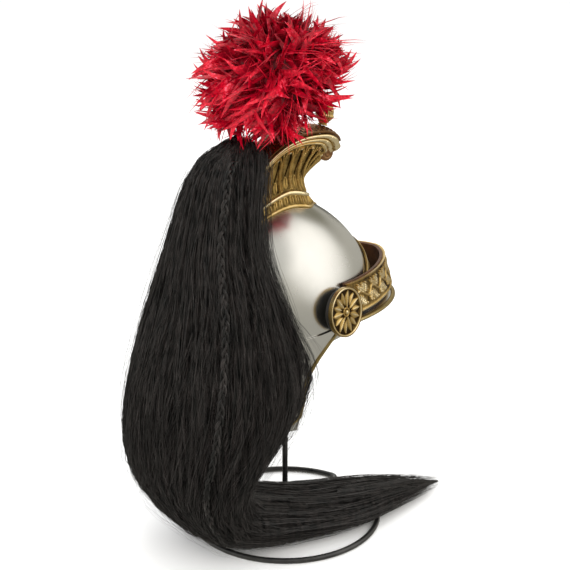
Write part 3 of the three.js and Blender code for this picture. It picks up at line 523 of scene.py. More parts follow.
# Visor
# A short steel peak over the brow, lapped and riveted to the bowl's front rim, with the same
# folded brass strip round its edge.
VISOR_REACH, VISOR_SIDE_REACH = 25.5 * MM, 4 * MM
VISOR_FALL, VISOR_LAP, VISOR_SIDE_FALL = 2 * MM, 3 * MM, 7 * MM
VISOR_HALF_ANGLE = math.radians(7 * 11.25)
VISOR_ROUNDNESS, VISOR_SAG = 2.2, 1.3
VISOR_WALL, VISOR_ROWS, VISOR_COLUMNS = 1.2 * MM, 16, 90


def visor_grid(rows, columns):
    from_front = np.linspace(VISOR_HALF_ANGLE, -VISOR_HALF_ANGLE, columns)
    angle = from_front - math.pi / 2
    seat = skull_point(angle, 0.0, CLEARANCE + 0.5 * MM)
    outward = unit(skull_outward(angle))
    reach = VISOR_SIDE_REACH + VISOR_REACH * np.cos(from_front) ** VISOR_ROUNDNESS
    fall = VISOR_FALL * np.cos(from_front) + RIM_DROP_FRONT
    lap = BROW + VISOR_LAP - VISOR_SIDE_FALL * (1 - np.cos(from_front))
    grid = []
    for share in np.linspace(0, 1, rows):
        row = seat + outward * (reach * share)[:, None]
        row[:, 2] = lap - fall * share ** VISOR_SAG
        grid.append(row)
    return np.array(grid)


visor = visor_grid(VISOR_ROWS, VISOR_COLUMNS)
keep(sheet_piece("visor_peak", visor, VISOR_WALL, STEEL), "steel", "visor")
visor_edge = VISOR_ROWS - 1
visor_path = [(visor_edge, j, visor_edge - 2, j) for j in range(3, VISOR_COLUMNS - 3)]
keep(fold_strip("visor_edging", visor, visor_path, VISOR_WALL), "brass", "visor_trim")

# Front plate
# A pressed brass plate on the brow of the bowl, with a raised border and a fan of plain rays.
# Pins through the bowl hold it.
PLATE_WALL, PLATE_FOOT, PLATE_HEIGHT = 1.0 * MM, 8 * MM, 48 * MM
PLATE_HALF_ANGLE, PLATE_SIDE_HEIGHT, PLATE_BORDER = 50.0, 0.45, 1.2 * MM
PLATE_ROWS, PLATE_COLUMNS = 60, 150
PLATE_MOULDINGS = (
    # height, how far in from the edge, half its width
    (1.0, 0.08, 0.08),
    (0.5, 0.24, 0.05),
)
PLATE_RAYS, FAN_WIDTH, FAN_FOOT, RAY_INSET = 13, 2.2, 0.25, 0.34
PLATE_BOSS_MIDDLE, PLATE_BOSS_HALF_HEIGHT, PLATE_BOSS_HALF_WIDTH = 0.2, 0.2, 0.14


def front_plate_grid(rows, columns):
    turn = np.linspace(-PLATE_HALF_ANGLE, PLATE_HALF_ANGLE, columns)
    arch = np.cos(np.radians(turn * 90 / PLATE_HALF_ANGLE))
    height = PLATE_HEIGHT * mix(PLATE_SIDE_HEIGHT, 1, arch)
    grid = []
    for rise in np.linspace(0, 1, rows):
        level = PLATE_FOOT + height * rise
        radius = (1 - (level / SKULL_RISE) ** 2) ** (1 / SKULL_FULLNESS)
        share = np.arccos(radius) / (np.pi / 2)
        grid.append(skull_point(np.radians(turn - 90), share,
                                CLEARANCE + PLATE_WALL + 0.5 * MM))
    return np.array(grid)


def bead(position, centre, half):
    """The height, 0 to 1, of a half-round moulding across a position."""
    return np.sqrt(np.maximum(1 - ((position - centre) / half) ** 2, 0))


def mouldings(position, rows):
    return sum(height * bead(position, centre, half) for height, centre, half in rows)


def plate_ornament(rows, columns):
    up, across = np.meshgrid(np.linspace(0, 1, rows), np.linspace(-1, 1, columns), indexing="ij")
    edge = np.minimum(np.minimum(up, 1 - up) * 1.6, (1 - np.abs(across)) * 3)
    border = mouldings(edge, PLATE_MOULDINGS)
    fan = np.arctan2(across * FAN_WIDTH, up + FAN_FOOT)
    rays = np.maximum(np.cos(fan * PLATE_RAYS), 0) ** 0.7
    rays = rays * np.clip((edge - RAY_INSET) * 6, 0, 1)
    boss_up = (up - PLATE_BOSS_MIDDLE) / PLATE_BOSS_HALF_HEIGHT
    boss = np.sqrt(np.maximum(1 - boss_up ** 2 - (across / PLATE_BOSS_HALF_WIDTH) ** 2, 0))
    rays = rays * (boss == 0) * np.clip(up * 4, 0, 1)
    return np.maximum(np.maximum(border, rays * 0.7), boss)


plate = front_plate_grid(PLATE_ROWS, PLATE_COLUMNS)
pressed = plate_ornament(PLATE_ROWS, PLATE_COLUMNS)
keep(sheet_piece("front_plate_pressing", plate, PLATE_WALL, BRASS, pressed * PLATE_BORDER,
                 0.2 + pressed * 0.75, 6), "brass", "front_plate")

# Crest
# Two hollow brass pressings, joined on the middle line, that rise from the crown like a swept
# comb: a plain moulding and a band of leaves at the foot, tall roped slots above them, and
# three half-round mouldings along the rim.
CREST_FRONT_Y, CREST_BACK_Y = -38 * MM, 106 * MM
CREST_PROW_Y, CREST_TAIL_Y = -58 * MM, 113 * MM
CREST_TOP_Z, CREST_TAIL_Z = 428 * MM, 292 * MM
CREST_BASE, CREST_WAIST, CREST_RIM = 25 * MM, 16.5 * MM, 19 * MM
CREST_WALL, CREST_BOW = 1.6 * MM, 31 * MM
CREST_TABLE = (
    # foot's length, rim's length, rise, bow, each as a share of its size
    (0.00, 0.00, 0.90, 1.00),
    (0.05, 0.04, 0.955, 0.80),
    (0.12, 0.10, 0.99, 0.56),
    (0.20, 0.20, 1.00, 0.36),
    (0.29, 0.30, 0.99, 0.20),
    (0.39, 0.40, 0.955, 0.10),
    (0.48, 0.50, 0.885, 0.03),
    (0.58, 0.60, 0.775, 0.00),
    (0.67, 0.695, 0.64, 0.00),
    (0.77, 0.78, 0.505, 0.00),
    (0.865, 0.87, 0.355, 0.00),
    (0.945, 0.945, 0.19, 0.00),
    (1.00, 1.00, 0.03, 0.00),
)
crest_foot, crest_rim, crest_rise, crest_bow = [curve_through(CREST_TABLE, k) for k in range(4)]
WAIST_HEIGHT = 0.4


def crest_rim_point(along):
    y = mix(CREST_PROW_Y, CREST_TAIL_Y, crest_rim(along))
    return np.stack([0 * y, y, mix(CREST_TAIL_Z, CREST_TOP_Z, crest_rise(along))], axis=-1)


def ease(value, start, end):
    share = np.clip((value - start) / (end - start), 0, 1)
    return share * share * (3 - 2 * share)


def crest_half_width(along, up):
    foot_width = mix(0.1, 1, ease(along, 0, 0.24))
    rim_width = mix(0.7, 1, ease(along, -0.02, 0.09))
    to_waist = np.sin(np.minimum(up / WAIST_HEIGHT, 1) * np.pi / 2)
    to_rim = np.maximum((up - WAIST_HEIGHT) / (1 - WAIST_HEIGHT), 0) ** 2
    side = mix(CREST_BASE, CREST_WAIST, to_waist) + (CREST_RIM - CREST_WAIST) * to_rim
    taper = 1 - 0.42 * np.maximum(0, (along - 0.5) / 0.5) ** 1.5
    return side * mix(foot_width, rim_width, up) * taper


def crest_point(along, up):
    """The outer face of the crest's left side, and its foot set down on the bowl."""
    foot_y = mix(CREST_FRONT_Y, CREST_BACK_Y, crest_foot(along))
    foot = np.stack([0 * foot_y, foot_y, skull_z(0 * foot_y, foot_y)], axis=-1)
    rim = crest_rim_point(along)
    bend = (foot + rim) / 2
    bend[..., 1] += 2 * CREST_BOW * crest_bow(along)
    u = np.asarray(up)[..., None]
    point = foot * (1 - u) ** 2 + bend * 2 * u * (1 - u) + rim * u ** 2
    point[..., 0] = crest_half_width(along, up)
    at_foot = crest_half_width(along, 0 * up)
    drop = skull_z(at_foot, foot_y, CLEARANCE) - foot[..., 2]
    point[..., 2] += drop * np.maximum(1 - up / 0.25, 0) ** 2
    return point


CREST_ROWS, CREST_COLUMNS, CREST_NOSE = 116, 290, 10
CREST_SLOTS, LEAVES_A_SLOT, ROPE_TURNS = 12, 2, 40
CREST_DEPTH, SLOT_DEPTH, SLOT_EDGE, SLOT_SWELL = 1.5 * MM, 1.6, 0.05, 0.45
FOOT_MOULDINGS = (
    # height, where it stands on the way from foot to rim, half its width
    (1.1, 0.138, 0.026),
    (0.5, 0.012, 0.014),
)
RIM_MOULDINGS = (
    (0.9, 0.872, 0.016),
    (1.0, 0.915, 0.024),
    (1.2, 0.972, 0.028),
)
PANEL_FOOT, PANEL_HEAD = 0.175, 0.845
LEAF_FOOT, LEAF_LENGTH, LEAF_HALF = 0.03, 0.078, 0.46
SLOT_MIDDLE, SLOT_HALF_LENGTH, SLOT_HALF = 0.60, 0.20, 0.27
ARCH_FOOT, ARCH_LENGTH, ROPE_OUT, ROPE_HALF = 0.68, 0.40, 0.385, 0.06
TONGUE_FOOT, TONGUE_LENGTH, TONGUE_HALF = 0.19, 0.20, 0.26
BOSS_MIDDLE, BOSS_HALF_LENGTH, BOSS_HALF = 0.80, 0.028, 0.12
RUBBED_BASE, RUBBED_BY_HEIGHT, RUBBED_MOULDINGS = 0.24, 0.5, 0.2


def crest_ornament(along, up):
    """Height of the pressed ornament over the crest's side, and how bright it is rubbed."""
    phase = (along * CREST_SLOTS) % 1 - 0.5
    edge = np.abs(phase)
    foot = mouldings(up, FOOT_MOULDINGS)
    rim = mouldings(up, RIM_MOULDINGS)
    leaf_phase = (along * CREST_SLOTS * LEAVES_A_SLOT) % 1 - 0.5
    leaf_up = (up - LEAF_FOOT) / LEAF_LENGTH
    leaf_width = LEAF_HALF * np.sqrt(np.clip(leaf_up * (1.05 - leaf_up) * 4, 0, 1))
    leaf = np.where(leaf_width > 0.02, 1 - (leaf_phase / np.maximum(leaf_width, 0.02)) ** 2, 0)
    leaf = np.clip(leaf, 0, 1) ** 0.6 * (0.8 - 0.55 * bead(leaf_phase, 0, 0.09))
    twist = 0.62 + 0.38 * np.cos(2 * np.pi * up * ROPE_TURNS)
    slot_up = (up - SLOT_MIDDLE) / SLOT_HALF_LENGTH
    slot_width = SLOT_HALF * np.sqrt(np.clip(1 - slot_up ** 2, 0, 1)) * (1 + SLOT_SWELL * slot_up)
    slot = np.clip((slot_width - edge) / SLOT_EDGE, 0, 1)
    panel = (up > PANEL_FOOT) * (up < PANEL_HEAD)
    arch = np.hypot(edge, np.maximum((up - ARCH_FOOT) / ARCH_LENGTH, 0))
    rope = bead(arch, ROPE_OUT, ROPE_HALF) * twist * panel
    rib = bead(edge, 0.5, ROPE_HALF) * (up > PANEL_FOOT) * (1 - ease(up, 0.80, 0.85))
    tongue_up = (up - TONGUE_FOOT) / TONGUE_LENGTH
    tongue_width = TONGUE_HALF * np.clip(tongue_up * (1.02 - tongue_up) * 4, 0, 1) ** 0.6
    tongue = np.clip(1 - (phase / np.maximum(tongue_width, 0.01)) ** 2, 0, 1)
    tongue = tongue ** 0.6 * (0.85 - 0.5 * bead(phase, 0, 0.05))
    boss_up = (up - BOSS_MIDDLE) / BOSS_HALF_LENGTH
    boss = np.sqrt(np.clip(1 - boss_up ** 2 - (phase / BOSS_HALF) ** 2, 0, 1))
    height = foot + leaf + rope + rib * 0.8 + tongue * 0.8 + boss * 1.3 + rim
    bright = RUBBED_BASE + height * RUBBED_BY_HEIGHT + RUBBED_MOULDINGS * (foot + rim > 0.3)
    return height - slot * SLOT_DEPTH, np.clip(bright * (1 - slot), 0, 1)


def crest_side(sign):
    up = np.linspace(0, 1, CREST_ROWS)
    along = np.linspace(0, 1, CREST_COLUMNS)
    u, a = np.meshgrid(up, along, indexing="ij")
    grid = crest_point(a, u)
    height, level = crest_ornament(a, u)
    ahead = grid[:, :1] - grid[:, 4:5]
    ahead[..., 0] = 0
    ahead = unit(ahead)
    nose = []
    for quarter in np.linspace(0, 1, CREST_NOSE, endpoint=False):
        turn = quarter * np.pi / 2
        ring = grid[:, :1].copy()
        width = ring[..., :1].copy()
        ring[..., :1] = np.maximum(width * math.sin(turn), CLEARANCE / 2)
        nose.append(ring + ahead * width * 0.7 * math.cos(turn))
    grid = np.concatenate([*nose, grid], axis=1)
    fade = np.repeat(height[:, :1], CREST_NOSE, axis=1) * np.linspace(0.4, 1, CREST_NOSE)
    height = np.concatenate([fade, height], axis=1)
    level = np.concatenate([np.repeat(level[:, :1], CREST_NOSE, axis=1), level], axis=1)
    grid[..., 0] *= sign
    if sign < 0:
        grid, height, level = grid[::-1], height[::-1], level[::-1]
    return sheet_piece("crest_left" if sign > 0 else "crest_right", grid, CREST_WALL, BRASS,
                       height * CREST_DEPTH, level, 8)


keep(crest_side(-1), "brass", "crest_side_right")
keep(crest_side(1), "brass", "crest_side_left")

# Crest top plate
# A thin crowned plate of darker, coppery brass that closes the crest between its rims, pressed
# with rows of overlapping scales.
TOP_WALL, TOP_CROWN = 1.2 * MM, 4 * MM
TOP_ROWS, TOP_COLUMNS, TOP_FIRST, TOP_LAST = 37, 300, 0.015, 0.93
SCALE_ROWS, SCALES_ACROSS, SCALE_DEPTH = 60, 2.5, 0.7 * MM
TOP_SEAT = CLEARANCE + TOP_WALL + 0.5 * MM
AGED_BRASS = brass_finish("aged coppery brass", (0.03, 0.014, 0.008), (0.30, 0.15, 0.065),
                          (0.62, 0.40, 0.20), mottle=200.0)


def over_rim(along, lift):
    """A place lifted square off the rim's line."""
    ahead = unit(crest_rim_point(along + 0.01) - crest_rim_point(along - 0.01))
    up = np.stack([0 * ahead[..., 0], -ahead[..., 2], ahead[..., 1]], axis=-1)
    return crest_rim_point(along) + up * np.asarray(lift)[..., None]


def top_plate():
    across, share = np.meshgrid(np.linspace(-1, 1, TOP_ROWS),
                                np.linspace(0, 1, TOP_COLUMNS), indexing="ij")
    along = mix(TOP_FIRST, TOP_LAST, share)
    grid = over_rim(along, TOP_SEAT + TOP_CROWN * (1 - across ** 2))
    grid[..., 0] = -across * crest_half_width(along, 1 + 0 * along)
    row = np.floor(share * SCALE_ROWS)
    place = share * SCALE_ROWS - row
    cell = (across * SCALES_ACROSS + 0.5 * (row % 2)) % 1 - 0.5
    scale = np.clip(1 - (cell / 0.5) ** 2 - (1 - place) ** 2 * 0.9, 0, 1) ** 0.5
    edge = bead(np.abs(across), 0.94, 0.07)
    height = np.where(np.abs(across) > 0.86, edge, scale)
    return sheet_piece("crest_top_pressing", grid, TOP_WALL, AGED_BRASS, height * SCALE_DEPTH,
                       0.15 + height * 0.7, 6)


keep(top_plate(), "aged_brass", "crest_top_plate")

# Prow scroll
# The rolled front end of the crest: a small reel across the prow whose ends are volutes,
# soldered in the angle under the rim.
SCROLL_RADIUS, SCROLL_HALF_LENGTH = 8 * MM, 13 * MM
SCROLL_BACK, SCROLL_DROP = 14 * MM, 9 * MM


def carried(points, place):
    """Points moved and turned by a matrix."""
    flat = points.reshape(-1, 3) @ np.array(place.to_3x3()).T + np.array(place.translation)
    return flat.reshape(points.shape)


def turned(name, profile, place, finish, sides=64, ribs=0, rib_depth=0.0, relief=None):
    """A turned piece: (radius, height) pairs about an axis, with gadroons cut round it."""
    profile = np.array(profile, float)
    turn = np.linspace(0, 2 * np.pi, sides, endpoint=False)
    wave = 1 + rib_depth * (np.abs(np.cos(turn * ribs / 2)) - 0.6) if ribs else 1 + 0 * turn
    rings = np.stack([
        profile[:, :1] * np.cos(turn) * wave, profile[:, :1] * np.sin(turn) * wave,
        profile[:, 1:2] + 0 * turn,
    ], axis=-1)
    level = None
    if relief is not None:
        level = np.repeat(np.array(relief, float)[:, None], sides, axis=1)
        if ribs:
            level = level * (0.45 + 0.55 * np.abs(np.cos(turn * ribs / 2)))
    return skin(name, carried(rings, place), finish, level)


def smooth_profile(points, per_step=6):
    """Points of a profile, rounded through by a curve."""
    radius, height = curve_through(points, 0), curve_through(points, 1)
    share = np.linspace(0, 1, (len(points) - 1) * per_step + 1)
    return np.stack([np.maximum(radius(share), 0.02 * MM), height(share)], axis=-1)


scroll_shape = [(0.0, -1.0), (0.35, -1.04), (0.45, -0.98), (0.75, -1.0), (1.0, -0.86), (1.0, -0.7),
                (0.8, -0.4), (0.86, -0.2), (1.0, 0.0), (0.86, 0.2), (0.8, 0.4), (1.0, 0.7),
                (1.0, 0.86), (0.75, 1.0), (0.45, 0.98), (0.35, 1.04), (0.0, 1.0)]
scroll_profile = smooth_profile([(r * SCROLL_RADIUS, h * SCROLL_HALF_LENGTH)
                                 for r, h in scroll_shape], 4)
scroll_place = Vector(crest_rim_point(np.array(0.0))) + Vector((0, SCROLL_BACK, -SCROLL_DROP))
scroll_matrix = Matrix.Translation(scroll_place) @ Matrix.Rotation(math.pi / 2, 4, "Y")
keep(turned("prow_scroll", scroll_profile, scroll_matrix, AGED_BRASS), "aged_brass")

# Crest finial
# A turned brass pomegranate with a gadrooned dome over a cup, screwed to the crest above the
# prow and leaning forward.
FINIAL_RADIUS, FINIAL_HEIGHT = 9 * MM, 24 * MM
FINIAL_ALONG, FINIAL_LEAN = 0.145, math.radians(15)
CROWN_LIFT = TOP_SEAT + TOP_CROWN + CLEARANCE


def crown_seat(along):
    return Vector(over_rim(np.array(along), CROWN_LIFT + 0.6 * MM))


finial_shape = [(0.0, 0.0), (0.55, 0.0), (0.52, 0.04), (0.45, 0.08), (0.6, 0.16), (0.85, 0.28),
                (1.02, 0.38), (1.08, 0.42), (1.02, 0.46), (0.96, 0.5), (0.95, 0.62),
                (0.84, 0.74), (0.66, 0.86), (0.4, 0.93), (0.24, 0.96), (0.2, 1.02),
                (0.12, 1.08), (0.0, 1.1)]
finial_profile = smooth_profile([(r * FINIAL_RADIUS, h * FINIAL_HEIGHT)
                                 for r, h in finial_shape], 4)
finial_matrix = Matrix.Translation(crown_seat(FINIAL_ALONG)) @ Matrix.Rotation(FINIAL_LEAN, 4, "X")
finial_relief = np.clip(0.35 + 0.5 * finial_profile[:, 0] / FINIAL_RADIUS, 0, 1)
keep(turned("crest_finial_pomegranate", finial_profile, finial_matrix, BRASS, 96, 24, 0.07,
            finial_relief), "brass", "crest_finial")

# Rosettes
# Round cast bosses with a rim, two rows of pointed petals and a middle button. Each pins the
# strap at the temple, over a disc of black leather on the bowl.
ROSETTE_RADIUS, ROSETTE_THICKNESS, ROSETTE_RIM = 25 * MM, 4.5 * MM, 1.6 * MM
ROSETTE_COLUMNS, FACE_ROWS, RIM_ROWS = 168, 60, 14
PETALS, PETAL_DEPTH, BUTTON_HEIGHT, BUTTON_RADIUS = 14, 1.6 * MM, 2.6 * MM, 0.11
OUTER_PETALS, INNER_PETALS = (0.16, 0.88, 0.33), (0.30, 0.86, 0.25)
PETAL_FULLNESS, PETAL_ROUNDNESS, PETAL_VEINS, VEIN_DEPTH = 0.8, 0.55, 9, 0.12
ROSETTE_WALL = (
    # how far behind the face, how much wider than the face
    (0.4 * MM, 0),
    (1.6 * MM, 0.004),
    (ROSETTE_THICKNESS - 0.3 * MM, 0),
    (ROSETTE_THICKNESS, -0.012),
)
ROSETTE_CENTRE = (97 * MM, -7 * MM, 267 * MM)
ROSETTE_TURN, ROSETTE_TILT = math.radians(15.5), math.radians(7.5)
PAD_THICKNESS, PAD_RADIUS = 6 * MM, 22.5 * MM


def rosette_place(sign):
    normal = Vector((
        sign * math.cos(ROSETTE_TURN) * math.cos(ROSETTE_TILT),
        -math.sin(ROSETTE_TURN) * math.cos(ROSETTE_TILT),
        math.sin(ROSETTE_TILT),
    ))
    across = Vector((0, 0, 1)).cross(normal).normalized()
    up = normal.cross(across)
    place = Matrix((across, up, normal)).transposed().to_4x4()
    place.translation = (sign * ROSETTE_CENTRE[0], ROSETTE_CENTRE[1], ROSETTE_CENTRE[2])
    return place


def petal_height(radius, turn, count, start, end, width):
    """Pointed petals from one radius to another, with a ridge and side veins, 0 to 1."""
    phase = (turn / (2 * np.pi) * count) % 1 - 0.5
    share = np.clip((radius - start) / (end - start), 0, 1)
    half = width * np.sin(np.pi * share ** PETAL_FULLNESS) ** 1.25
    body = np.clip(1 - np.abs(phase) / np.maximum(half, 1e-3), 0, 1) * (half > 0.01)
    veins = np.cos((share * PETAL_VEINS - np.abs(phase) * 8) * 2 * np.pi) * (body > 0.1)
    veins = VEIN_DEPTH * veins
    return body ** PETAL_ROUNDNESS * (0.85 + 0.15 * bead(phase, 0, 0.08)) + veins * body


def rosette(name, sign):
    radii = np.concatenate([np.linspace(0.001, 0.86, FACE_ROWS), np.linspace(0.875, 1.0, RIM_ROWS)])
    turn = np.linspace(0, 2 * np.pi, ROSETTE_COLUMNS, endpoint=False)
    r, t = np.meshgrid(radii, turn, indexing="ij")
    outer = petal_height(r, t, PETALS / 2, *OUTER_PETALS)
    inner = petal_height(r, t + 2 * np.pi / PETALS, PETALS / 2, *INNER_PETALS)
    button = np.sqrt(np.clip(1 - (r / BUTTON_RADIUS) ** 2, 0, 1))
    collar = bead(r, 0.165, 0.035)
    ring = bead(r, 0.945, 0.055)
    ornament = np.maximum.reduce([outer, inner, collar * 0.7])
    lift = ornament * PETAL_DEPTH - ROSETTE_RIM * (1 - ring) * (r < 0.995)
    lift = lift + button * BUTTON_HEIGHT
    face = np.stack([r * np.cos(t) * ROSETTE_RADIUS, r * np.sin(t) * ROSETTE_RADIUS, lift], -1)
    wall = []
    for depth, grow in ROSETTE_WALL:
        ring_points = face[-1].copy()
        ring_points[:, :2] *= 1 + grow
        ring_points[:, 2] = -depth
        wall.append(ring_points)
    rings = np.concatenate([face, wall])
    level = np.maximum.reduce([0.12 + 0.8 * ornament, ring * 0.95, button])
    level = np.concatenate([level, np.full((len(wall), ROSETTE_COLUMNS), 0.66)])
    return skin(name, carried(rings, rosette_place(sign)), BRASS, level)


def leather_finish(name, dark, light, rough, grain, bump):
    """Vegetable-tanned leather: pebbled grain and uneven dye."""
    finish, tree, shader = new_finish(name, Metallic=0.0)
    place = object_place(tree)
    dye = noise(tree, place, 60.0, 8.0, Roughness=0.65)
    pebble = wire(tree, "ShaderNodeTexVoronoi", {"Vector": place, "Scale": grain})
    dress(tree, shader, pebble.outputs["Distance"], bump, 0.3 * MM,
          Base_Color=tones(tree, dye, (0.32, dark), (0.72, light)),
          Roughness=remap(tree, dye, 0.0, 1.0, rough, rough + 0.25))
    return finish


BLACK_LEATHER = leather_finish("black leather", (0.006, 0.0055, 0.005), (0.03, 0.027, 0.024),
                               0.42, 900.0, 0.35)
pad_top = -ROSETTE_THICKNESS - CLEARANCE
pad_profile = [
    (0.05 * MM, pad_top), (PAD_RADIUS - 1.1 * MM, pad_top),
    (PAD_RADIUS - 0.3 * MM, pad_top - 0.4 * MM), (PAD_RADIUS, pad_top - 1.2 * MM),
    (PAD_RADIUS, pad_top - PAD_THICKNESS + 1.6 * MM),
    (PAD_RADIUS - 0.8 * MM, pad_top - PAD_THICKNESS + 0.5 * MM),
    (PAD_RADIUS - 2.5 * MM, pad_top - PAD_THICKNESS), (0.05 * MM, pad_top - PAD_THICKNESS),
]
for sign, side_name in ((-1, "right"), (1, "left")):
    keep(rosette(f"rosette_{side_name}_boss", sign), "brass", f"rosette_{side_name}")
    keep(turned(f"rosette_{side_name}_pad", pad_profile, rosette_place(sign), BLACK_LEATHER, 72),
         "black_leather", f"rosette_pad_{side_name}")

# Chin strap
# A brown leather band in one loop from temple to temple round the front. Its outer face is
# covered by two lengths of embossed brass, with leaves and berries between two beaded edges.
STRAP_WIDTH, STRAP_TOP = 32 * MM, 37 * MM
STRAP_LEATHER, STRAP_PLATE = 3 * MM, 1.6 * MM
STRAP_HALF_WIDTH, STRAP_REACH, STRAP_LEAN = 92 * MM, 121 * MM, 9 * MM
STRAP_POINTEDNESS, STRAP_OPEN = 1.6, 0.035
STRAP_ROWS, STRAP_COLUMNS, STRAP_SPLIT, STRAP_RELIEF = 50, 350, 0.004, 1.7 * MM
LEAF_PITCH, BERRY_RADIUS, BERRY_OUT, BEAD_PITCH = 25 * MM, 1.6 * MM, 0.62, 1.7 * MM
STRAP_FOLIAGE = (
    # lean of a leaf from square to the strap, its reach, its half width
    (0.85, 0.66, 0.30),
    (-0.55, 0.48, 0.24),
)


def strap_point(share, up, outset):
    angle = mix(STRAP_OPEN, 1 - STRAP_OPEN, share) * np.pi
    power = 2 / STRAP_POINTEDNESS
    half_width = STRAP_HALF_WIDTH - STRAP_LEAN * up + outset
    reach = STRAP_REACH - STRAP_LEAN * up + outset
    return np.stack([
        -half_width * np.sign(np.cos(angle)) * np.abs(np.cos(angle)) ** power,
        ROSETTE_CENTRE[1] - reach * np.sin(angle) ** power,
        BROW + STRAP_TOP - STRAP_WIDTH * (1 - up),
    ], axis=-1)


BROWN_LEATHER = leather_finish("brown leather", (0.035, 0.014, 0.006), (0.13, 0.055, 0.022),
                               0.45, 500.0, 0.5)


def strap_start(up, outset, gap):
    """The share where the strap's edge comes out from behind the rosette's rim."""
    low, high = np.zeros_like(up), np.full_like(up, 0.25)
    to_rosette = np.array(rosette_place(-1).inverted())
    for _ in range(24):
        middle = (low + high) / 2
        place = strap_point(middle, up, outset) @ to_rosette[:3, :3].T + to_rosette[:3, 3]
        inside = np.hypot(place[..., 0], place[..., 1]) < ROSETTE_RADIUS + gap
        low, high = np.where(inside, middle, low), np.where(inside, high, middle)
    return high


def strap_grid(up, columns, outset, first=0.0, last=1.0, gap=CLEARANCE):
    """Rows of the strap between its ends, which follow the rosettes' round edges."""
    start = strap_start(up, outset, gap)[:, None]
    share = start + (1 - 2 * start) * np.linspace(first, last, columns)
    return strap_point(share, up[:, None] + 0 * share, outset)


keep(sheet_piece("strap_band", strap_grid(np.linspace(0, 1, 14), 220, 0.0), STRAP_LEATHER,
                 BROWN_LEATHER), "brown_leather", "strap_leather")


def strap_ornament(length, across):
    """Leaves that lean from a winding stem to the edges by turns, with berries between."""
    half_strap = STRAP_WIDTH / 2
    step = length / LEAF_PITCH
    height = 0.75 * bead(across, 0.22 * np.sin(step * 2 * np.pi), 0.085)
    for shift, way in ((0.0, 1), (0.5, -1)):
        x = ((step + shift) % 1 - 0.5) * LEAF_PITCH
        y = across * half_strap * way - 1.5 * MM
        for lean, reach, width in STRAP_FOLIAGE:
            along = (x * math.sin(lean) + y * math.cos(lean)) / (half_strap * reach * 1.25)
            aside = (x * math.cos(lean) - y * math.sin(lean)) / (half_strap * width)
            half = np.sqrt(np.clip(along * (1 - along) * 4, 0, 1))
            lobes = 1 + 0.22 * np.cos(along * 2 * np.pi * 4)
            leaf = 1 - (aside / np.maximum(half * lobes, 1e-3)) ** 2
            leaf = np.clip(leaf, 0, 1) * (half > 0.02)
            vein = 0.3 * bead(aside, 0, 0.12)
            vein = vein + 0.15 * np.cos((along * 5 - np.abs(aside)) * 2 * np.pi)
            height = np.maximum(height, leaf ** 0.5 * (1 - vein))
    berry_x = ((step * 2 + 0.5) % 1 - 0.5) * LEAF_PITCH / 2
    for berry_out in (-BERRY_OUT, BERRY_OUT):
        berry_y = (across - berry_out) * half_strap
        spot = (berry_x / BERRY_RADIUS) ** 2 + (berry_y / BERRY_RADIUS) ** 2
        height = np.maximum(height, np.sqrt(np.clip(1 - spot, 0, 1)))
    edge = np.abs(across)
    dashes = 0.6 + 0.4 * np.cos(length / BEAD_PITCH * 2 * np.pi)
    beads = bead(edge, 0.955, 0.045) + 0.7 * bead(edge, 0.87, 0.03) * dashes
    return np.where(edge > 0.84, beads, height)


def run_length(line):
    """How far along a line each of its points lies."""
    steps = np.linalg.norm(np.diff(line, axis=0), axis=1)
    return np.concatenate([[0], np.cumsum(steps)])


def strap_plate(name, first, last):
    up = np.linspace(0.02, 0.98, STRAP_ROWS)
    grid = strap_grid(up, STRAP_COLUMNS, STRAP_PLATE + CLEARANCE + 0.2 * MM, first, last)
    length = np.broadcast_to(run_length(grid[STRAP_ROWS // 2]), (STRAP_ROWS, STRAP_COLUMNS))
    height = strap_ornament(length, up[:, None] * 2 - 1)
    return sheet_piece(name, grid, STRAP_PLATE, BRASS, height * STRAP_RELIEF - 0.3 * MM,
                       np.clip(0.22 + height * 0.72, 0, 1), 8)


keep(strap_plate("strap_pressing_right", 0.0, 0.5 - STRAP_SPLIT), "brass", "strap_plate_right")
keep(strap_plate("strap_pressing_left", 0.5 + STRAP_SPLIT, 1.0), "brass", "strap_plate_left")

# Neck guard rivets
# Four small domed steel rivets through the lap of guard and bowl, spread evenly round the nape.
# Their shanks are closed on the inside, and only the heads stand on the sheet.
RIVET_RADIUS, RIVET_HEIGHT, RIVET_BELOW = 3 * MM, 1.6 * MM, 6 * MM


def set_values(modifier, values):
    """Sets a Geometry Nodes modifier's inputs by their names in the tree."""
    for item in modifier.node_group.interface.items_tree:
        if item.item_type == "SOCKET" and item.in_out == "INPUT" and item.name in values:
            modifier[item.identifier] = values[item.name]


def grow_on(name, points, edges, tree, normals=None, **values):
    """Runs a tree on points and lines, and keeps the result as a plain mesh."""
    base = bpy.data.meshes.new(name)
    base.from_pydata(np.asarray(points, float).reshape(-1, 3).tolist(), edges, [])
    if normals is not None:
        facing = base.attributes.new("facing", "FLOAT_VECTOR", "POINT")
        facing.data.foreach_set("vector", np.asarray(normals, float).ravel())
    host = added(name, base)
    modifier = host.modifiers.new(tree.name, "NODES")
    modifier.node_group = tree
    set_values(modifier, {label.replace("_", " "): value for label, value in values.items()})
    evaluated = host.evaluated_get(bpy.context.evaluated_depsgraph_get())
    result = bpy.data.meshes.new_from_object(evaluated)
    host.modifiers.remove(modifier)
    host.data = result
    bpy.data.meshes.remove(base)
    result.name = name
    return host


def end_tree(tree, given, geometry, result):
    """Ends a tree: instances made real, smooth shading, and the finish."""
    real = wire(tree, "GeometryNodeRealizeInstances", {"Geometry": geometry})
    smooth = wire(tree, "GeometryNodeSetShadeSmooth", {"Geometry": real.outputs[0]})
    done = wire(tree, "GeometryNodeSetMaterial", {
        "Geometry": smooth.outputs[0], "Material": given.outputs["Finish"],
    })
    tree.links.new(done.outputs[0], result.inputs[0])


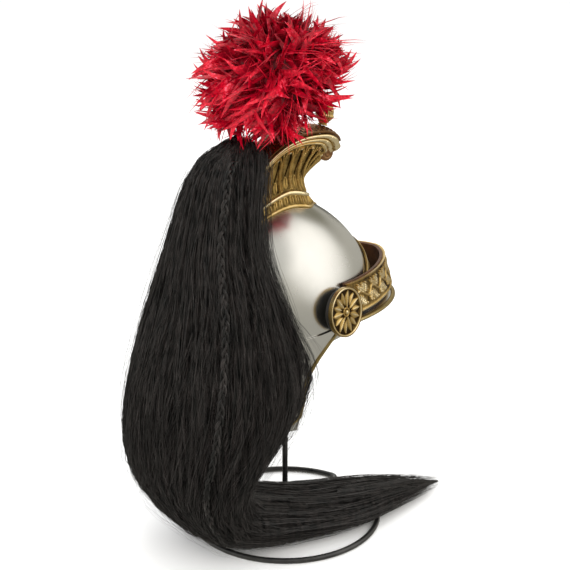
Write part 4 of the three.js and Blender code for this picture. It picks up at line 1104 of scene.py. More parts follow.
def heads_tree():
    """A domed head on each point, standing square on the surface there."""
    tree, given, result = group_of("GeometryNodeTree", "heads on points", [
        ("Places", "NodeSocketGeometry", None),
        ("Radius", "NodeSocketFloat", 0.003),
        ("Height", "NodeSocketFloat", 0.0016),
        ("Finish", "NodeSocketMaterial", None),
    ], [("Heads", "NodeSocketGeometry")])
    size = wire(tree, "ShaderNodeCombineXYZ", {
        0: given.outputs["Radius"], 1: given.outputs["Radius"], 2: given.outputs["Height"],
    })
    ball = wire(tree, "GeometryNodeMeshUVSphere", {"Segments": 20, "Rings": 12, "Radius": 1.0})
    facing = wire(tree, "GeometryNodeInputNamedAttribute", {"Name": "facing"},
                  data_type="FLOAT_VECTOR")
    turn = wire(tree, "FunctionNodeAlignRotationToVector", {
        "Vector": facing.outputs["Attribute"],
    }, axis="Z")
    placed = wire(tree, "GeometryNodeInstanceOnPoints", {
        "Points": given.outputs["Places"], "Instance": ball.outputs["Mesh"],
        "Rotation": turn.outputs[0], "Scale": size.outputs[0],
    })
    end_tree(tree, given, placed.outputs[0], result)
    return tree


HEADS = heads_tree()
rivet_turns = np.radians(90 + np.array([-66, -22, 22, 66]))
rivet_places = skull_point(rivet_turns, 0.0, GUARD_SEAT)
rivet_places[:, 2] = skull_rim_z(rivet_places[:, 1]) + GUARD_OVERLAP - RIVET_BELOW
keep(grow_on("neck_guard_rivets", rivet_places, [], HEADS, skull_outward(rivet_turns),
             Radius=RIVET_RADIUS, Height=RIVET_HEIGHT, Finish=STEEL),
     "steel", *[f"neck_guard_rivet_{k + 1}" for k in range(len(rivet_turns))])

# Stand
# Black wire: a ring on the table with its end turned in along the floor, a post welded upright
# on that end, and a padded leather cap on top that carries the bowl.
WIRE_RADIUS = 3 * MM
RING_RADIUS, CUT_GAP, BEND_RADIUS = 102.3 * MM, 4 * MM, 9 * MM
SPOKE_TURN, SPOKE_PAST_POST = math.radians(-72), 6 * MM
CAP_RADIUS, CAP_THICKNESS, CAP_BULGE = 27 * MM, 9 * MM, 5.4 * MM
RING_STEPS, BEND_STEPS, SPOKE_STEPS = 180, 12, 12
cap_top = float(skull_z(np.array(0.0), np.array(0.0), -SKULL_WALL))


def on_floor(distance, turn):
    return (distance * math.cos(turn), distance * math.sin(turn), WIRE_RADIUS)


def ring_path():
    cut = (2 * WIRE_RADIUS + CUT_GAP) / RING_RADIUS
    bend_turn = BEND_RADIUS / RING_RADIUS
    first, last = SPOKE_TURN - cut, SPOKE_TURN + bend_turn - 2 * math.pi
    path = [on_floor(RING_RADIUS, mix(first, last, k / RING_STEPS))
            for k in range(RING_STEPS + 1)]
    for quarter in np.linspace(0, np.pi / 2, BEND_STEPS + 1)[1:]:
        path.append(on_floor(RING_RADIUS - BEND_RADIUS * (1 - math.cos(quarter)),
                             SPOKE_TURN + bend_turn * (1 - math.sin(quarter))))
    for k in range(1, SPOKE_STEPS + 1):
        path.append(on_floor(mix(RING_RADIUS - BEND_RADIUS, -SPOKE_PAST_POST, k / SPOKE_STEPS),
                             SPOKE_TURN))
    return path


def rod_tree():
    """A round rod along a line of points."""
    tree, given, result = group_of("GeometryNodeTree", "rod along a path", [
        ("Path", "NodeSocketGeometry", None),
        ("Radius", "NodeSocketFloat", 0.003),
        ("Sides", "NodeSocketInt", 20),
        ("Finish", "NodeSocketMaterial", None),
    ], [("Rod", "NodeSocketGeometry")])
    line = wire(tree, "GeometryNodeMeshToCurve", {"Mesh": given.outputs["Path"]})
    section = wire(tree, "GeometryNodeCurvePrimitiveCircle", {
        "Resolution": given.outputs["Sides"], "Radius": given.outputs["Radius"],
    })
    swept = wire(tree, "GeometryNodeCurveToMesh", {
        "Curve": line.outputs[0], "Profile Curve": section.outputs[0], "Fill Caps": True,
    })
    end_tree(tree, given, swept.outputs[0], result)
    return tree


def wire_finish():
    finish, tree, shader = new_finish("black wire", Metallic=0.0, Coat_Weight=0.6,
                                      Coat_Roughness=0.12)
    specks = noise(tree, object_place(tree), 90.0, 6.0)
    colour = tones(tree, specks, (0.35, (0.004, 0.004, 0.0045)), (0.8, (0.022, 0.021, 0.02)))
    tree.links.new(colour, shader.inputs["Base Color"])
    add_handling(tree, shader, 0.2, 0.1 * MM, Smooth=0.22, Rough=0.42, Patch_Scale=60.0,
                 Scratch_Scale=700.0, Dent_Scale=90.0)
    return finish


BLACK_WIRE = wire_finish()
ROD = rod_tree()
ring = ring_path()
post = [(0, 0, WIRE_RADIUS), (0, 0, cap_top - CAP_THICKNESS - CLEARANCE)]
runs = [(k, k + 1) for k in range(len(ring) - 1)] + [(len(ring), len(ring) + 1)]
keep(grow_on("stand_bent_wire", ring + post, runs, ROD, Radius=WIRE_RADIUS, Sides=24,
             Finish=BLACK_WIRE), "black_wire", "stand_wire")


def cap_profile():
    """Half section of the cap: flat below, bulged at the side, set to the bowl above."""
    low = cap_top - CAP_THICKNESS
    section = [(0.05 * MM, low), (CAP_RADIUS * 0.3, low), (CAP_RADIUS * 0.8, low - 4.2 * MM),
               (CAP_RADIUS - 1 * MM, low - CAP_BULGE), (CAP_RADIUS - 0.2 * MM, low - 4.2 * MM)]
    for share in np.linspace(1, 0.002, 10):
        radius = CAP_RADIUS * share
        top = skull_z(np.array(radius), np.array(SKULL_CENTRE_Y), -SKULL_WALL - 2 * CLEARANCE)
        section.append((radius, float(top) - 1.6 * MM * share ** 6))
    return section


keep(turned("stand_padded_cap", cap_profile(), Matrix.Identity(4), BLACK_LEATHER, 64),
     "black_leather", "stand_cap")

# Plume
# Cock feathers dyed crimson, bound in a tuft on a wire stem that stands in a small brass cup
# on the crest. Long glossy blades lie over a dense core, whose darker colour is painted shade.
PLUME_ALONG, SOCKET_RADIUS, SOCKET_HEIGHT = 0.36, 6 * MM, 12 * MM
STEM_RADIUS = 2.5 * MM
PLUME_RISE, PLUME_BACK, PLUME_TILT = 60 * MM, 5 * MM, math.radians(20)
PLUME_REACH, PLUME_HEIGHT_SHARE, PLUME_SWELL, PLUME_DROOP = 95 * MM, 0.76, 0.13, 0.04
PLUME_CORE = Vector((54, 60, 45)) * MM
PLUME_SEED, CORE_COLUMNS, CORE_ROWS = 41, 48, 28
FINIAL_SHELTER, CLUMP_TURN, CROWN_GAP, SIDE_SLOPE = 0.42, 2.4, 1.5 * MM, 0.45
STRAND_VARIETY, STRAND_SIZES, BLUNT_TIP = 7.0, (0.65, 1.35), 1.04
plume_seat = crown_seat(PLUME_ALONG)
socket_profile = smooth_profile([(r * SOCKET_RADIUS, h * SOCKET_HEIGHT) for r, h in (
    (0.0, 0.0), (1.6, 0.0), (1.62, 0.1), (1.5, 0.18), (1.05, 0.28), (0.92, 0.5), (0.88, 0.8),
    (0.98, 0.94), (0.9, 1.0), (0.5, 1.0), (0.5, 0.5), (0.0, 0.4))], 4)
keep(turned("plume_cup", socket_profile, Matrix.Translation(plume_seat), BRASS, 48), "brass",
     "plume_socket")


def strand_tree():
    """Tapered strands along guide lines: copies that spread, wave and thin out to their tips."""
    tree, given, result = group_of("GeometryNodeTree", "strands along guides", [
        ("Guides", "NodeSocketGeometry", None),
        ("Copies", "NodeSocketInt", 1),
        ("Points", "NodeSocketInt", 16),
        ("Root Spread", "NodeSocketFloat", 0.0),
        ("Tip Spread", "NodeSocketFloat", 0.01),
        ("Wave", "NodeSocketFloat", 0.002),
        ("Wave Scale", "NodeSocketFloat", 20.0),
        ("Half Width", "NodeSocketFloat", 0.0005),
        ("Belly", "NodeSocketFloat", 3.0),
        ("Flatness", "NodeSocketFloat", 1.0),
        ("Sides", "NodeSocketInt", 3),
        ("Twist", "NodeSocketFloat", 3.0),
        ("Seed", "NodeSocketInt", 0),
        ("Finish", "NodeSocketMaterial", None),
    ], [("Strands", "NodeSocketGeometry")])
    lines = wire(tree, "GeometryNodeMeshToCurve", {"Mesh": given.outputs["Guides"]})
    even = wire(tree, "GeometryNodeResampleCurve", {
        "Curve": lines.outputs[0], "Count": given.outputs["Points"],
    })
    many = wire(tree, "GeometryNodeDuplicateElements", {
        "Geometry": even.outputs[0], "Amount": given.outputs["Copies"],
    }, domain="SPLINE")
    strand = wire(tree, "GeometryNodeCurveOfPoint").outputs["Curve Index"]
    along = wire(tree, "GeometryNodeSplineParameter").outputs["Factor"]
    place = wire(tree, "GeometryNodeInputPosition").outputs[0]
    away = wire(tree, "FunctionNodeRandomValue", {
        0: (-1.0, -1.0, -1.0), 1: (1.0, 1.0, 1.0), "ID": strand, "Seed": given.outputs["Seed"],
    }, data_type="FLOAT_VECTOR").outputs[0]

    def scaled(vector, factor):
        return wire(tree, "ShaderNodeVectorMath", {0: vector, "Scale": factor},
                    operation="SCALE").outputs[0]

    def vectors(operation, a, b):
        return wire(tree, "ShaderNodeVectorMath", {0: a, 1: b}, operation=operation).outputs[0]

    def chance(low, high):
        return wire(tree, "FunctionNodeRandomValue", {
            2: low, 3: high, "ID": strand, "Seed": given.outputs["Seed"],
        }, data_type="FLOAT").outputs[1]

    spread = remap(tree, along, 0.0, 1.0, given.outputs["Root Spread"],
                   given.outputs["Tip Spread"])
    where = vectors("ADD", scaled(place, given.outputs["Wave Scale"]),
                    scaled(away, STRAND_VARIETY))
    ripple = wire(tree, "ShaderNodeTexNoise", {"Vector": where, "Scale": 1.0, "Detail": 1.0})
    centred = vectors("SUBTRACT", ripple.outputs["Color"], (0.5, 0.5, 0.5))
    waved = scaled(centred, calc(tree, "MULTIPLY", along, given.outputs["Wave"]))
    moved = wire(tree, "GeometryNodeSetPosition", {
        "Geometry": many.outputs[0], "Offset": vectors("ADD", scaled(away, spread), waved),
    })
    thinned = calc(tree, "SUBTRACT", BLUNT_TIP,
                   calc(tree, "POWER", along, given.outputs["Belly"]))
    size = calc(tree, "MULTIPLY", thinned, given.outputs["Half Width"])
    sized = wire(tree, "GeometryNodeSetCurveRadius", {
        "Curve": moved.outputs[0], "Radius": calc(tree, "MULTIPLY", size, chance(*STRAND_SIZES)),
    })
    tilted = wire(tree, "GeometryNodeSetCurveTilt", {
        "Curve": sized.outputs[0],
        "Tilt": calc(tree, "MULTIPLY", chance(-1.0, 1.0), given.outputs["Twist"]),
    })
    section = wire(tree, "GeometryNodeCurvePrimitiveCircle", {
        "Resolution": given.outputs["Sides"], "Radius": 1.0,
    })
    flatten = wire(tree, "ShaderNodeCombineXYZ", {0: 1.0, 1: given.outputs["Flatness"], 2: 1.0})
    pressed_flat = wire(tree, "GeometryNodeTransform", {
        "Geometry": section.outputs[0], "Scale": flatten.outputs[0],
    })
    swept = wire(tree, "GeometryNodeCurveToMesh", {
        "Curve": tilted.outputs[0], "Profile Curve": pressed_flat.outputs[0],
        "Fill Caps": True,
    })
    tree.links.new(wire(tree, "GeometryNodeInputRadius").outputs[0], swept.inputs["Scale"])
    end_tree(tree, given, swept.outputs[0], result)
    return tree


STRANDS = strand_tree()


def strands(name, guides, **values):
    """Runs the strand tree on guides, each an array of points from root to tip."""
    points = np.concatenate(guides)
    starts = np.cumsum([0] + [len(g) for g in guides])
    edges = [(k, k + 1) for a, b in zip(starts, starts[1:]) for k in range(a, b - 1)]
    return grow_on(name, points, edges, STRANDS, **values)


plume_middle = plume_seat + Vector((0, PLUME_BACK, PLUME_RISE))
tuft_place = Matrix.Translation(plume_middle) @ Matrix.Rotation(-PLUME_TILT, 4, "X")
finial_middle = crown_seat(FINIAL_ALONG) + Vector((0, 0, FINIAL_HEIGHT * 0.6))
TO_FINIAL = np.array((tuft_place.inverted() @ finial_middle).normalized())


def feather_finish(name, deep, bright, painted_pink_highlight):
    """Dyed feather: streaked along the blade with painted pink highlights, darkened inside the tuft
    by painted shade, and glossy outside.
    """
    finish, tree, shader = new_finish(name, Metallic=0.0, Specular_IOR_Level=0.38)
    place = object_place(tree)
    barbs = noise(tree, place, 380.0, 3.0)
    drift = noise(tree, place, 60.0, 3.0)
    # Noise streaks along the barbs: the middle crimson is the dye, the darkest tone is partly darker
    # dye and partly painted shade, and the pink top tone is a painted highlight.
    streaks = tones(tree, calc(tree, "MULTIPLY", barbs, drift), (0.13, deep), (0.32, bright),
                    (0.46, painted_pink_highlight))
    # Painted shade: the colour is scaled down towards the middle of the tuft, to 0.3 of it there, as
    # shade inside the plume.
    from_middle = wire(tree, "ShaderNodeVectorMath", {0: place, 1: tuple(plume_middle)},
                       operation="DISTANCE").outputs["Value"]
    outer = remap(tree, from_middle, 0.4 * PLUME_REACH, 0.75 * PLUME_REACH, 0.3, 1.0)
    shaded = wire(tree, "ShaderNodeVectorMath", {0: streaks, "Scale": outer}, operation="SCALE")
    dress(tree, shader, barbs, 0.35, 0.3 * MM, Base_Color=shaded.outputs[0],
          Roughness=remap(tree, drift, 0.0, 1.0, 0.24, 0.46))
    return finish


# The last colour is a painted pink highlight; the first is partly darker dye and partly painted
# shade.
FEATHER = feather_finish("crimson feather", (0.17, 0.0, 0.007), (0.60, 0.002, 0.020),
                         (0.90, 0.12, 0.19))


def tuft_directions(count):
    """Directions spread evenly over a ball, from the lowest to the highest."""
    index = np.arange(count)
    height = 1 - (2 * index + 1) / count
    turn = index * math.pi * (3 - math.sqrt(5))
    level = np.sqrt(1 - height ** 2)
    return np.stack([np.cos(turn) * level, np.sin(turn) * level, -height], axis=-1)


def clear_of_crown(points):
    """Lifts feather points that would run into the crest or the bowl off them."""
    points = points.copy()
    rim = over_rim(np.linspace(0, 1, 80), CROWN_LIFT)
    crest_top = np.interp(points[:, 1], rim[:, 1], rim[:, 2])
    beside = np.maximum(np.abs(points[:, 0]) - CREST_RIM, 0)
    points[:, 2] = np.maximum(points[:, 2], crest_top + CROWN_GAP - SIDE_SLOPE * beside)
    return points


def feather_clumps(clumps, blades, rng, start, reach_low, reach_high, fan, gather, curl):
    """Guides in clumps: the blades of one leave the core apart, draw together and bend over."""
    guides = []
    for k, way in enumerate(tuft_directions(clumps)):
        clump_reach = PLUME_REACH * (1 - PLUME_SWELL * (1 - math.sin(k * CLUMP_TURN)))
        clump_bend = np.cross(way, rng.normal(0, 1, 3)) * curl
        for _ in range(blades):
            root_way = unit(way + rng.normal(0, fan, 3))
            tip_way = unit(way + rng.normal(0, gather, 3) + clump_bend)
            beside_finial = ease(tip_way @ TO_FINIAL, 0.45, 0.85)
            reach = clump_reach * rng.uniform(reach_low, reach_high)
            reach = reach * (1 - FINIAL_SHELTER * beside_finial)
            share = np.linspace(start, 1, 10)[:, None]
            bearing = unit(mix(root_way, tip_way, share ** 1.5))
            line = reach * share * bearing * np.array([1, 1, PLUME_HEIGHT_SHARE])
            droop = np.array([0, 0, -PLUME_DROOP * (1 - way[2]) * reach]) * share ** 2
            guides.append(clear_of_crown(carried(line + droop, tuft_place)))
    return guides


feather_rng = np.random.default_rng(PLUME_SEED)
core_turn = np.linspace(0, 2 * np.pi, CORE_COLUMNS, endpoint=False)
core_rings = []
for latitude in np.radians(np.linspace(-89.5, 89.5, CORE_ROWS)):
    ball = np.stack([np.cos(core_turn) * math.cos(latitude), np.sin(core_turn) * math.cos(latitude),
                     0 * core_turn + math.sin(latitude)], axis=-1)
    lumps = 0.84 + 0.06 * np.sin(core_turn * 5 + latitude * 9) * math.cos(latitude)
    core_rings.append(carried(ball * lumps[:, None] * np.array(PLUME_CORE), tuft_place))
# Painted shade: the core's finish is a darker copy of the feather finish, standing for the shade deep
# in the tuft.
FEATHER_IN_PAINTED_SHADE = feather_finish("crimson feather in painted shade", (0.14, 0.0, 0.005), (0.40, 0.0, 0.014),
                              (0.55, 0.01, 0.04))
keep(skin("plume_core", core_rings, FEATHER_IN_PAINTED_SHADE), "feather", "plume")
stem_points = [tuple(plume_seat + Vector((0, 0, 4 * MM))), tuple(plume_middle)]
keep(grow_on("plume_stem", stem_points, [(0, 1)], ROD, Radius=STEM_RADIUS, Sides=12,
             Finish=BLACK_WIRE), "feather")
blades = feather_clumps(80, 12, feather_rng, 0.36, 0.84, 1.02, 0.30, 0.2, 0.42)
keep(strands("plume_blades", blades, Copies=1, Points=11, Root_Spread=1 * MM, Tip_Spread=2 * MM,
             Wave=4 * MM, Wave_Scale=30.0, Half_Width=4.4 * MM, Belly=2.4, Flatness=0.12, Sides=4,
             Twist=3.1, Seed=3, Finish=FEATHER), "feather")
barbs = feather_clumps(80, 6, feather_rng, 0.45, 0.80, 1.08, 0.34, 0.26, 0.42)
keep(strands("plume_barbs", barbs, Copies=2, Points=8, Root_Spread=2 * MM, Tip_Spread=4 * MM,
             Wave=8 * MM, Wave_Scale=45.0, Half_Width=0.7 * MM, Belly=3.0, Flatness=0.4, Sides=3,
             Twist=3.1, Seed=8, Finish=FEATHER), "feather")

# Mane
# Black horsehair bound behind the plume. It falls over the back of the crest and the neck
# guard, is gathered under the guard and lies swept forward on the table.
MANE_ROOT_Z, MANE_BACK_Y = 432 * MM, 128 * MM
MANE_HALF_WIDTH, MANE_HALF_DEPTH, MANE_STAND_OFF = 105 * MM, 85 * MM, 4 * MM
MANE_TABLE = (
    # drop, back, side, half width, half depth (shares of the mane's sizes), lean in degrees
    (0.000, 0.40, 0.00, 0.06, 0.09, 0),
    (0.019, 0.43, 0.00, 0.17, 0.26, 0),
    (0.051, 0.49, 0.00, 0.27, 0.41, 0),
    (0.120, 0.584, 0.00, 0.41, 0.43, 0),
    (0.236, 0.65, 0.00, 0.54, 0.50, 0),
    (0.375, 0.65, 0.00, 0.80, 0.68, 0),
    (0.537, 0.65, 0.00, 0.95, 0.97, 0),
    (0.653, 0.77, 0.00, 0.97, 0.88, 0),
    (0.757, 0.90, 0.04, 0.90, 0.67, 10),
    (0.847, 0.88, 0.05, 0.78, 0.45, 35),
    (0.903, 0.74, -0.08, 0.63, 0.36, 62),
    (0.930, 0.39, -0.21, 0.52, 0.31, 80),
    (0.944, 0.024, -0.33, 0.44, 0.25, 88),
    (0.950, -0.30, -0.42, 0.39, 0.22, 90),
    (0.960, -0.766, -0.43, 0.27, 0.14, 90),
    (0.970, -1.094, -0.45, 0.16, 0.08, 90),
    (0.983, -1.45, -0.475, 0.02, 0.02, 90),
)
SLOW_SWAY, QUICK_SWAY, LIFT_WAVE = 7, 16, 9
HAIR_SEED, GUIDE_POINTS, BACKING_VOXEL, FLOOR_GAP = 17, 44, 4.4 * MM, 0.8 * MM
mane_columns = [curve_through(MANE_TABLE, k) for k in range(6)]


def mane_point(along, turn, lift=0.0):
    """The hair's outer face: a share of its length, a turn round it, and a lift off it."""
    drop, back, side, width, depth, lean = [column(along) for column in mane_columns]
    tilt = np.radians(lean)
    across = np.cos(turn) * (MANE_HALF_WIDTH * width + lift)
    out = np.sin(turn) * (MANE_HALF_DEPTH * depth + lift)
    return np.stack([
        side * MANE_HALF_WIDTH + across,
        back * MANE_BACK_Y + out * np.cos(tilt),
        MANE_ROOT_Z * (1 - drop) - out * np.sin(tilt),
    ], axis=-1)


def clear_of_bed(points, gap):
    """Moves points that would lie in the bowl, guard or floor out to its surface."""
    points = points.copy()
    x, y, z = points[:, 0], points[:, 1] - SKULL_CENTRE_Y, points[:, 2]
    grow = GUARD_SEAT + gap
    level = np.clip((z - BROW) / (SKULL_RISE + grow), 0, 1)
    limit = np.where(z > BROW, (1 - level ** 2) ** (1 / SKULL_FULLNESS), 1.0)
    limit = np.where((z > BROW + SKULL_RISE + grow) | (z < GUARD_BOTTOM_Z - 2 * MM), 0.0, limit)
    below = np.clip((BROW - RIM_DROP_BACK + GUARD_OVERLAP - z) / GUARD_DROP, 0, 1)
    half_width = SKULL_HALF_WIDTH + grow - GUARD_TAPER * below
    half_length = SKULL_HALF_LENGTH + grow + GUARD_FLARE * below ** 1.6
    radius = np.hypot(x / half_width, y / half_length)
    push = np.where((radius < limit) & (radius > 1e-6), limit / np.maximum(radius, 1e-6), 1.0)
    points[:, 0] = x * push
    points[:, 1] = y * push + SKULL_CENTRE_Y
    points[:, 2] = np.maximum(points[:, 2], FLOOR_GAP)
    return points


def hair_finish():
    """Horsehair: nearly black, with cool painted highlights in streaks that run down the strands."""
    finish, tree, shader = new_finish("black horsehair", Metallic=0.0,
                                      Specular_IOR_Level=0.5)
    run = wire(tree, "ShaderNodeMapping", {
        "Vector": object_place(tree), "Scale": (1.0, 1.0, 0.05),
    })
    # The streak noise gives the hair's dark tone, its bump and its gloss; its lightest grey tone,
    # from 0.76 up, is a painted highlight.
    streak_and_painted_highlight = noise(tree, run.outputs[0], 260.0, 3.0)
    dress(tree, shader, streak_and_painted_highlight, 0.6, 0.6 * MM,
          Base_Color=tones(tree, streak_and_painted_highlight, (0.38, (0.0016, 0.0015, 0.0015)),
                           (0.76, (0.032, 0.026, 0.024))),
          Roughness=remap(tree, streak_and_painted_highlight, 0.0, 1.0, 0.22, 0.5))
    return finish


HORSEHAIR = hair_finish()


def mane_backing():
    """The dense inside of the mane: the solid's own form, remeshed into one skin and rounded."""
    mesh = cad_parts["mane"].data.copy()
    piece = added("mane_backing", mesh)
    mesh.materials.clear()
    mesh.materials.append(HORSEHAIR)
    melt = piece.modifiers.new("one skin", "REMESH")
    melt.mode = "VOXEL"
    melt.voxel_size = BACKING_VOXEL
    melt.use_smooth_shade = True
    soften = piece.modifiers.new("rounded", "SMOOTH")
    soften.factor = 0.5
    soften.iterations = 8
    evaluated = piece.evaluated_get(bpy.context.evaluated_depsgraph_get())
    smooth = bpy.data.meshes.new_from_object(evaluated)
    piece.modifiers.clear()
    piece.data = smooth
    bpy.data.meshes.remove(mesh)
    return piece


keep(mane_backing(), "horsehair", "mane")


def mane_guides(count, rng, turn_low, turn_high, lift_low, lift_high, root_low=0.0,
                root_high=0.12, end_low=0.45, end_high=0.99, wander=0.16):
    """Guides along the hair's outer face, from root to tip, over a range of turns round it."""
    guides = []
    for k in range(count):
        turn = mix(turn_low, turn_high, (k + rng.uniform(0, 1)) / count)
        root = rng.uniform(root_low, root_high)
        end = end_low + (end_high - end_low) * rng.uniform(0, 1) ** 0.8
        along = np.linspace(root, end, GUIDE_POINTS)
        phase = rng.uniform(0, 6.28, 3)
        sway = wander * np.sin(along * SLOW_SWAY + phase[0])
        sway = sway + wander * 0.5 * np.sin(along * QUICK_SWAY + phase[1])
        wave = 0.6 + 0.4 * np.sin(along * LIFT_WAVE + phase[2])
        lift = rng.uniform(lift_low, lift_high) * wave
        line = mane_point(along, turn + sway * ease(along, root, root + 0.3), lift)
        guides.append(clear_of_bed(line, MANE_STAND_OFF * 0.4))
    return guides


hair_rng = np.random.default_rng(HAIR_SEED)
HAIR = {"Flatness": 0.8, "Sides": 3, "Twist": 3.1, "Finish": HORSEHAIR}
mane_sections = (
    # name, first turn and last turn in degrees, guides, seed
    ("mane_hair_right", 132, 212, 100, 5),
    ("mane_hair_back", 62, 134, 100, 6),
    ("mane_hair_left", -32, 64, 100, 7),
)
for name, first, last, count, seed in mane_sections:
    guides = mane_guides(count, hair_rng, math.radians(first), math.radians(last),
                         -3 * MM, 1.2 * MM, wander=0.22)
    keep(strands(name, guides, Seed=seed, Copies=10, Points=16, Root_Spread=1.6 * MM,
                 Tip_Spread=3.6 * MM, Wave=12 * MM, Wave_Scale=11.0, Half_Width=0.27 * MM,
                 Belly=5.0, **HAIR), "horsehair")
tail = mane_guides(64, hair_rng, math.radians(180), math.radians(360), -2 * MM, 1 * MM,
                   root_low=0.62, root_high=0.84, end_low=0.86, end_high=0.995, wander=0.3)
keep(strands("mane_tail_hair", tail, Seed=12, Copies=8, Points=16, Root_Spread=2.5 * MM,
             Tip_Spread=4 * MM, Wave=8 * MM, Wave_Scale=18.0, Half_Width=0.32 * MM, Belly=4.0,
             **HAIR), "horsehair")
loose = mane_guides(74, hair_rng, math.radians(-40), math.radians(220), 0.5 * MM, 8 * MM,
                    root_high=0.2, end_low=0.4, end_high=0.72, wander=0.34)
loose += mane_guides(22, hair_rng, math.radians(186), math.radians(226), 5 * MM, 15 * MM,
                     root_high=0.1, end_low=0.35, end_high=0.62, wander=0.2)
loose += mane_guides(20, hair_rng, math.radians(-46), math.radians(-6), 5 * MM, 15 * MM,
                     root_high=0.1, end_low=0.35, end_high=0.62, wander=0.2)
keep(strands("mane_loose_hair", loose, Seed=9, Copies=4, Points=18, Root_Spread=1 * MM,
             Tip_Spread=9 * MM, Wave=16 * MM, Wave_Scale=12.0, Half_Width=0.15 * MM, Belly=4.0,
             **HAIR), "horsehair")

# Mane braid
# A thin plait of the same hair at the back of the mane, three strands woven in turn. It is
# bound in with the mane at the root and tied off below the nape.
BRAID_HALF_WIDTH, BRAID_HALF_THICKNESS, BRAID_PITCH = 4.3 * MM, 3.4 * MM, 30 * MM
BRAID_TOP, BRAID_END, BRAID_TURN, BRAID_SWAY = 0.1, 0.62, 150.0, 5.0
BRAID_PROUD, BRAID_DEEP, BRAID_POINTS, BRAID_THINS = 2.5 * MM, 20 * MM, 240, 0.6


def braid_guides():
    share = np.linspace(0, 1, BRAID_POINTS)
    along = mix(BRAID_TOP, BRAID_END, share)
    turn = np.radians(BRAID_TURN - BRAID_SWAY * np.sin(share * np.pi))
    line = mane_point(along, turn, BRAID_HALF_THICKNESS + BRAID_PROUD)
    core = mane_point(along, turn, -BRAID_DEEP)
    tangent = unit(np.gradient(line, axis=0))
    across = unit(np.cross(tangent, line - core))
    out = np.cross(across, tangent)
    length = run_length(line)
    taper = (1 - BRAID_THINS * share ** 3)[:, None]
    guides = []
    for strand in range(3):
        phase = (length / BRAID_PITCH + strand / 3) * 2 * np.pi
        guides.append(line + (across * (np.sin(phase) * BRAID_HALF_WIDTH * 0.6)[:, None]
                              + out * (np.sin(2 * phase) * BRAID_HALF_THICKNESS * 0.42)[:, None])
                      * taper)
    return guides


keep(strands("mane_plait", braid_guides(), Copies=1, Points=150, Root_Spread=0.0, Tip_Spread=0.0,
             Wave=0.0, Half_Width=1.9 * MM, Belly=6.0, Flatness=0.8, Sides=10, Twist=0.0, Seed=2,
             Finish=HORSEHAIR), "horsehair", "mane_braid")
keep(strands("mane_plait_hair", braid_guides(), Copies=16, Points=100, Root_Spread=1.9 * MM,
             Tip_Spread=1.7 * MM, Wave=1.0 * MM, Wave_Scale=60.0, Half_Width=0.25 * MM, Belly=8.0,
             Seed=4, **HAIR), "horsehair")

# Table, light and camera
# A plain pale table, wide soft lamps, and the camera where the photograph was taken from.
# Polished metal mirrors soft boxes all round it, and the rest stands in even white light.
TABLE_SIZE, BACKDROP_STRENGTH = 60.0, 1.12


def table_finish():
    finish, tree, shader = new_finish("pale table", Metallic=0.0, Specular_IOR_Level=0.3,
                                      Roughness=0.6)
    cloud = noise(tree, object_place(tree), 3.0, 2.0)
    colour = tones(tree, cloud, (0.0, (0.93, 0.93, 0.93)), (1.0, (0.96, 0.96, 0.96)))
    tree.links.new(colour, shader.inputs["Base Color"])
    return finish


reach = TABLE_SIZE / 2
table_corners = [(-reach, -reach, 0), (reach, -reach, 0), (reach, reach, 0), (-reach, reach, 0)]
table_mesh = bpy.data.meshes.new("table_top")
table_mesh.from_pydata(table_corners, [], [(0, 1, 2, 3)])
table_mesh.materials.append(table_finish())
table_top = added("table_top", table_mesh)
table_top.visible_glossy = False

world = bpy.data.worlds.new("pale studio")
bpy.context.scene.world = world
world.use_nodes = True
sky = world.node_tree
backdrop = sky.nodes["Background"]
direction = wire(sky, "ShaderNodeTexCoord").outputs["Generated"]
upward = remap(sky, wire(sky, "ShaderNodeSeparateXYZ", {"Vector": direction}).outputs["Z"], -1.0, 1.0)
reflected = tones(sky, upward, (0.3, (0.36, 0.35, 0.31)), (0.95, (0.13, 0.125, 0.095)),
                  (0.6, (0.44, 0.425, 0.37)))
soft_boxes = (
    # compass direction and height in degrees, half angles where it fades and where it is full,
    # brightness
    (-140, 38, 50, 8, (1.25, 1.22, 1.15)),
    (150, 55, 34, 10, (0.60, 0.59, 0.55)),
    (60, 35, 45, 12, (0.85, 0.85, 0.82)),
    (-60, 45, 30, 12, (0.20, 0.19, 0.14)),
    (-20, 40, 40, 10, (0.95, 0.94, 0.90)),
    (-47, 3, 10, 4, (0.03, 0.03, 0.025)),
)
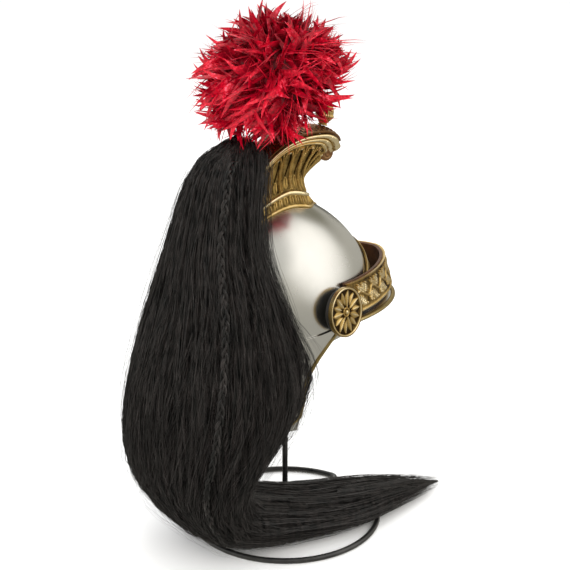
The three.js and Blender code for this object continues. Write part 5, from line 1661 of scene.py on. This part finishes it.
for compass, level, fades, full, brightness in soft_boxes:
    turn, rise = math.radians(compass), math.radians(level)
    toward = (math.cos(turn) * math.cos(rise), math.sin(turn) * math.cos(rise), math.sin(rise))
    facing = wire(sky, "ShaderNodeVectorMath", {0: direction, 1: toward}, operation="DOT_PRODUCT")
    glow = remap(sky, facing.outputs["Value"], math.cos(math.radians(fades)),
                 math.cos(math.radians(full)), interpolation_type="SMOOTHERSTEP")
    reflected = blend(sky, glow, reflected, (*brightness, 1.0))
glossy = wire(sky, "ShaderNodeLightPath").outputs["Is Glossy Ray"]
sky.links.new(blend(sky, glossy, (1.0, 1.0, 1.0, 1.0), reflected), backdrop.inputs["Color"])
backdrop.inputs["Strength"].default_value = BACKDROP_STRENGTH
bpy.context.scene.view_settings.view_transform = "Standard"

LOOK_AT = Vector((0, 0, 269 * MM))
CAMERA_WAY = Vector((-0.7733, 0.5415, 0.3297)).normalized()
CAMERA_DISTANCE = 1325 * MM
SENSOR_WIDTH, FOCAL_SHARE = 36.0, 1275 / 570


def lamp(name, place, size, power, colour):
    data = bpy.data.lights.new(name, "AREA")
    data.shape = "RECTANGLE"
    data.size, data.size_y = size
    data.energy = power
    data.color = colour
    light = added(name, data)
    light.location = place
    light.rotation_euler = (LOOK_AT - Vector(place)).to_track_quat("-Z", "Y").to_euler()
    light.visible_glossy = False


lamps = (
    # name, place, size, power, colour
    ("key lamp", (-1.9, 0.5, 1.3), (1.9, 1.9), 34, (1.0, 0.97, 0.90)),
    ("fill lamp", (-0.3, 2.2, 1.0), (1.5, 1.8), 14, (0.97, 0.98, 1.0)),
    ("top lamp", (0.2, -0.2, 2.2), (2.0, 2.0), 16, (1.0, 1.0, 0.98)),
    ("front lamp", (0.9, -1.9, 1.1), (1.5, 1.5), 12, (1.0, 1.0, 1.0)),
)
for row in lamps:
    lamp(*row)

camera_data = bpy.data.cameras.new("camera")
camera_data.sensor_width = SENSOR_WIDTH
camera_data.lens = FOCAL_SHARE * SENSOR_WIDTH
camera = added("camera", camera_data)
camera.location = LOOK_AT + CAMERA_WAY * CAMERA_DISTANCE
camera.rotation_euler = (-CAMERA_WAY).to_track_quat("-Z", "Y").to_euler()
bpy.context.scene.camera = camera
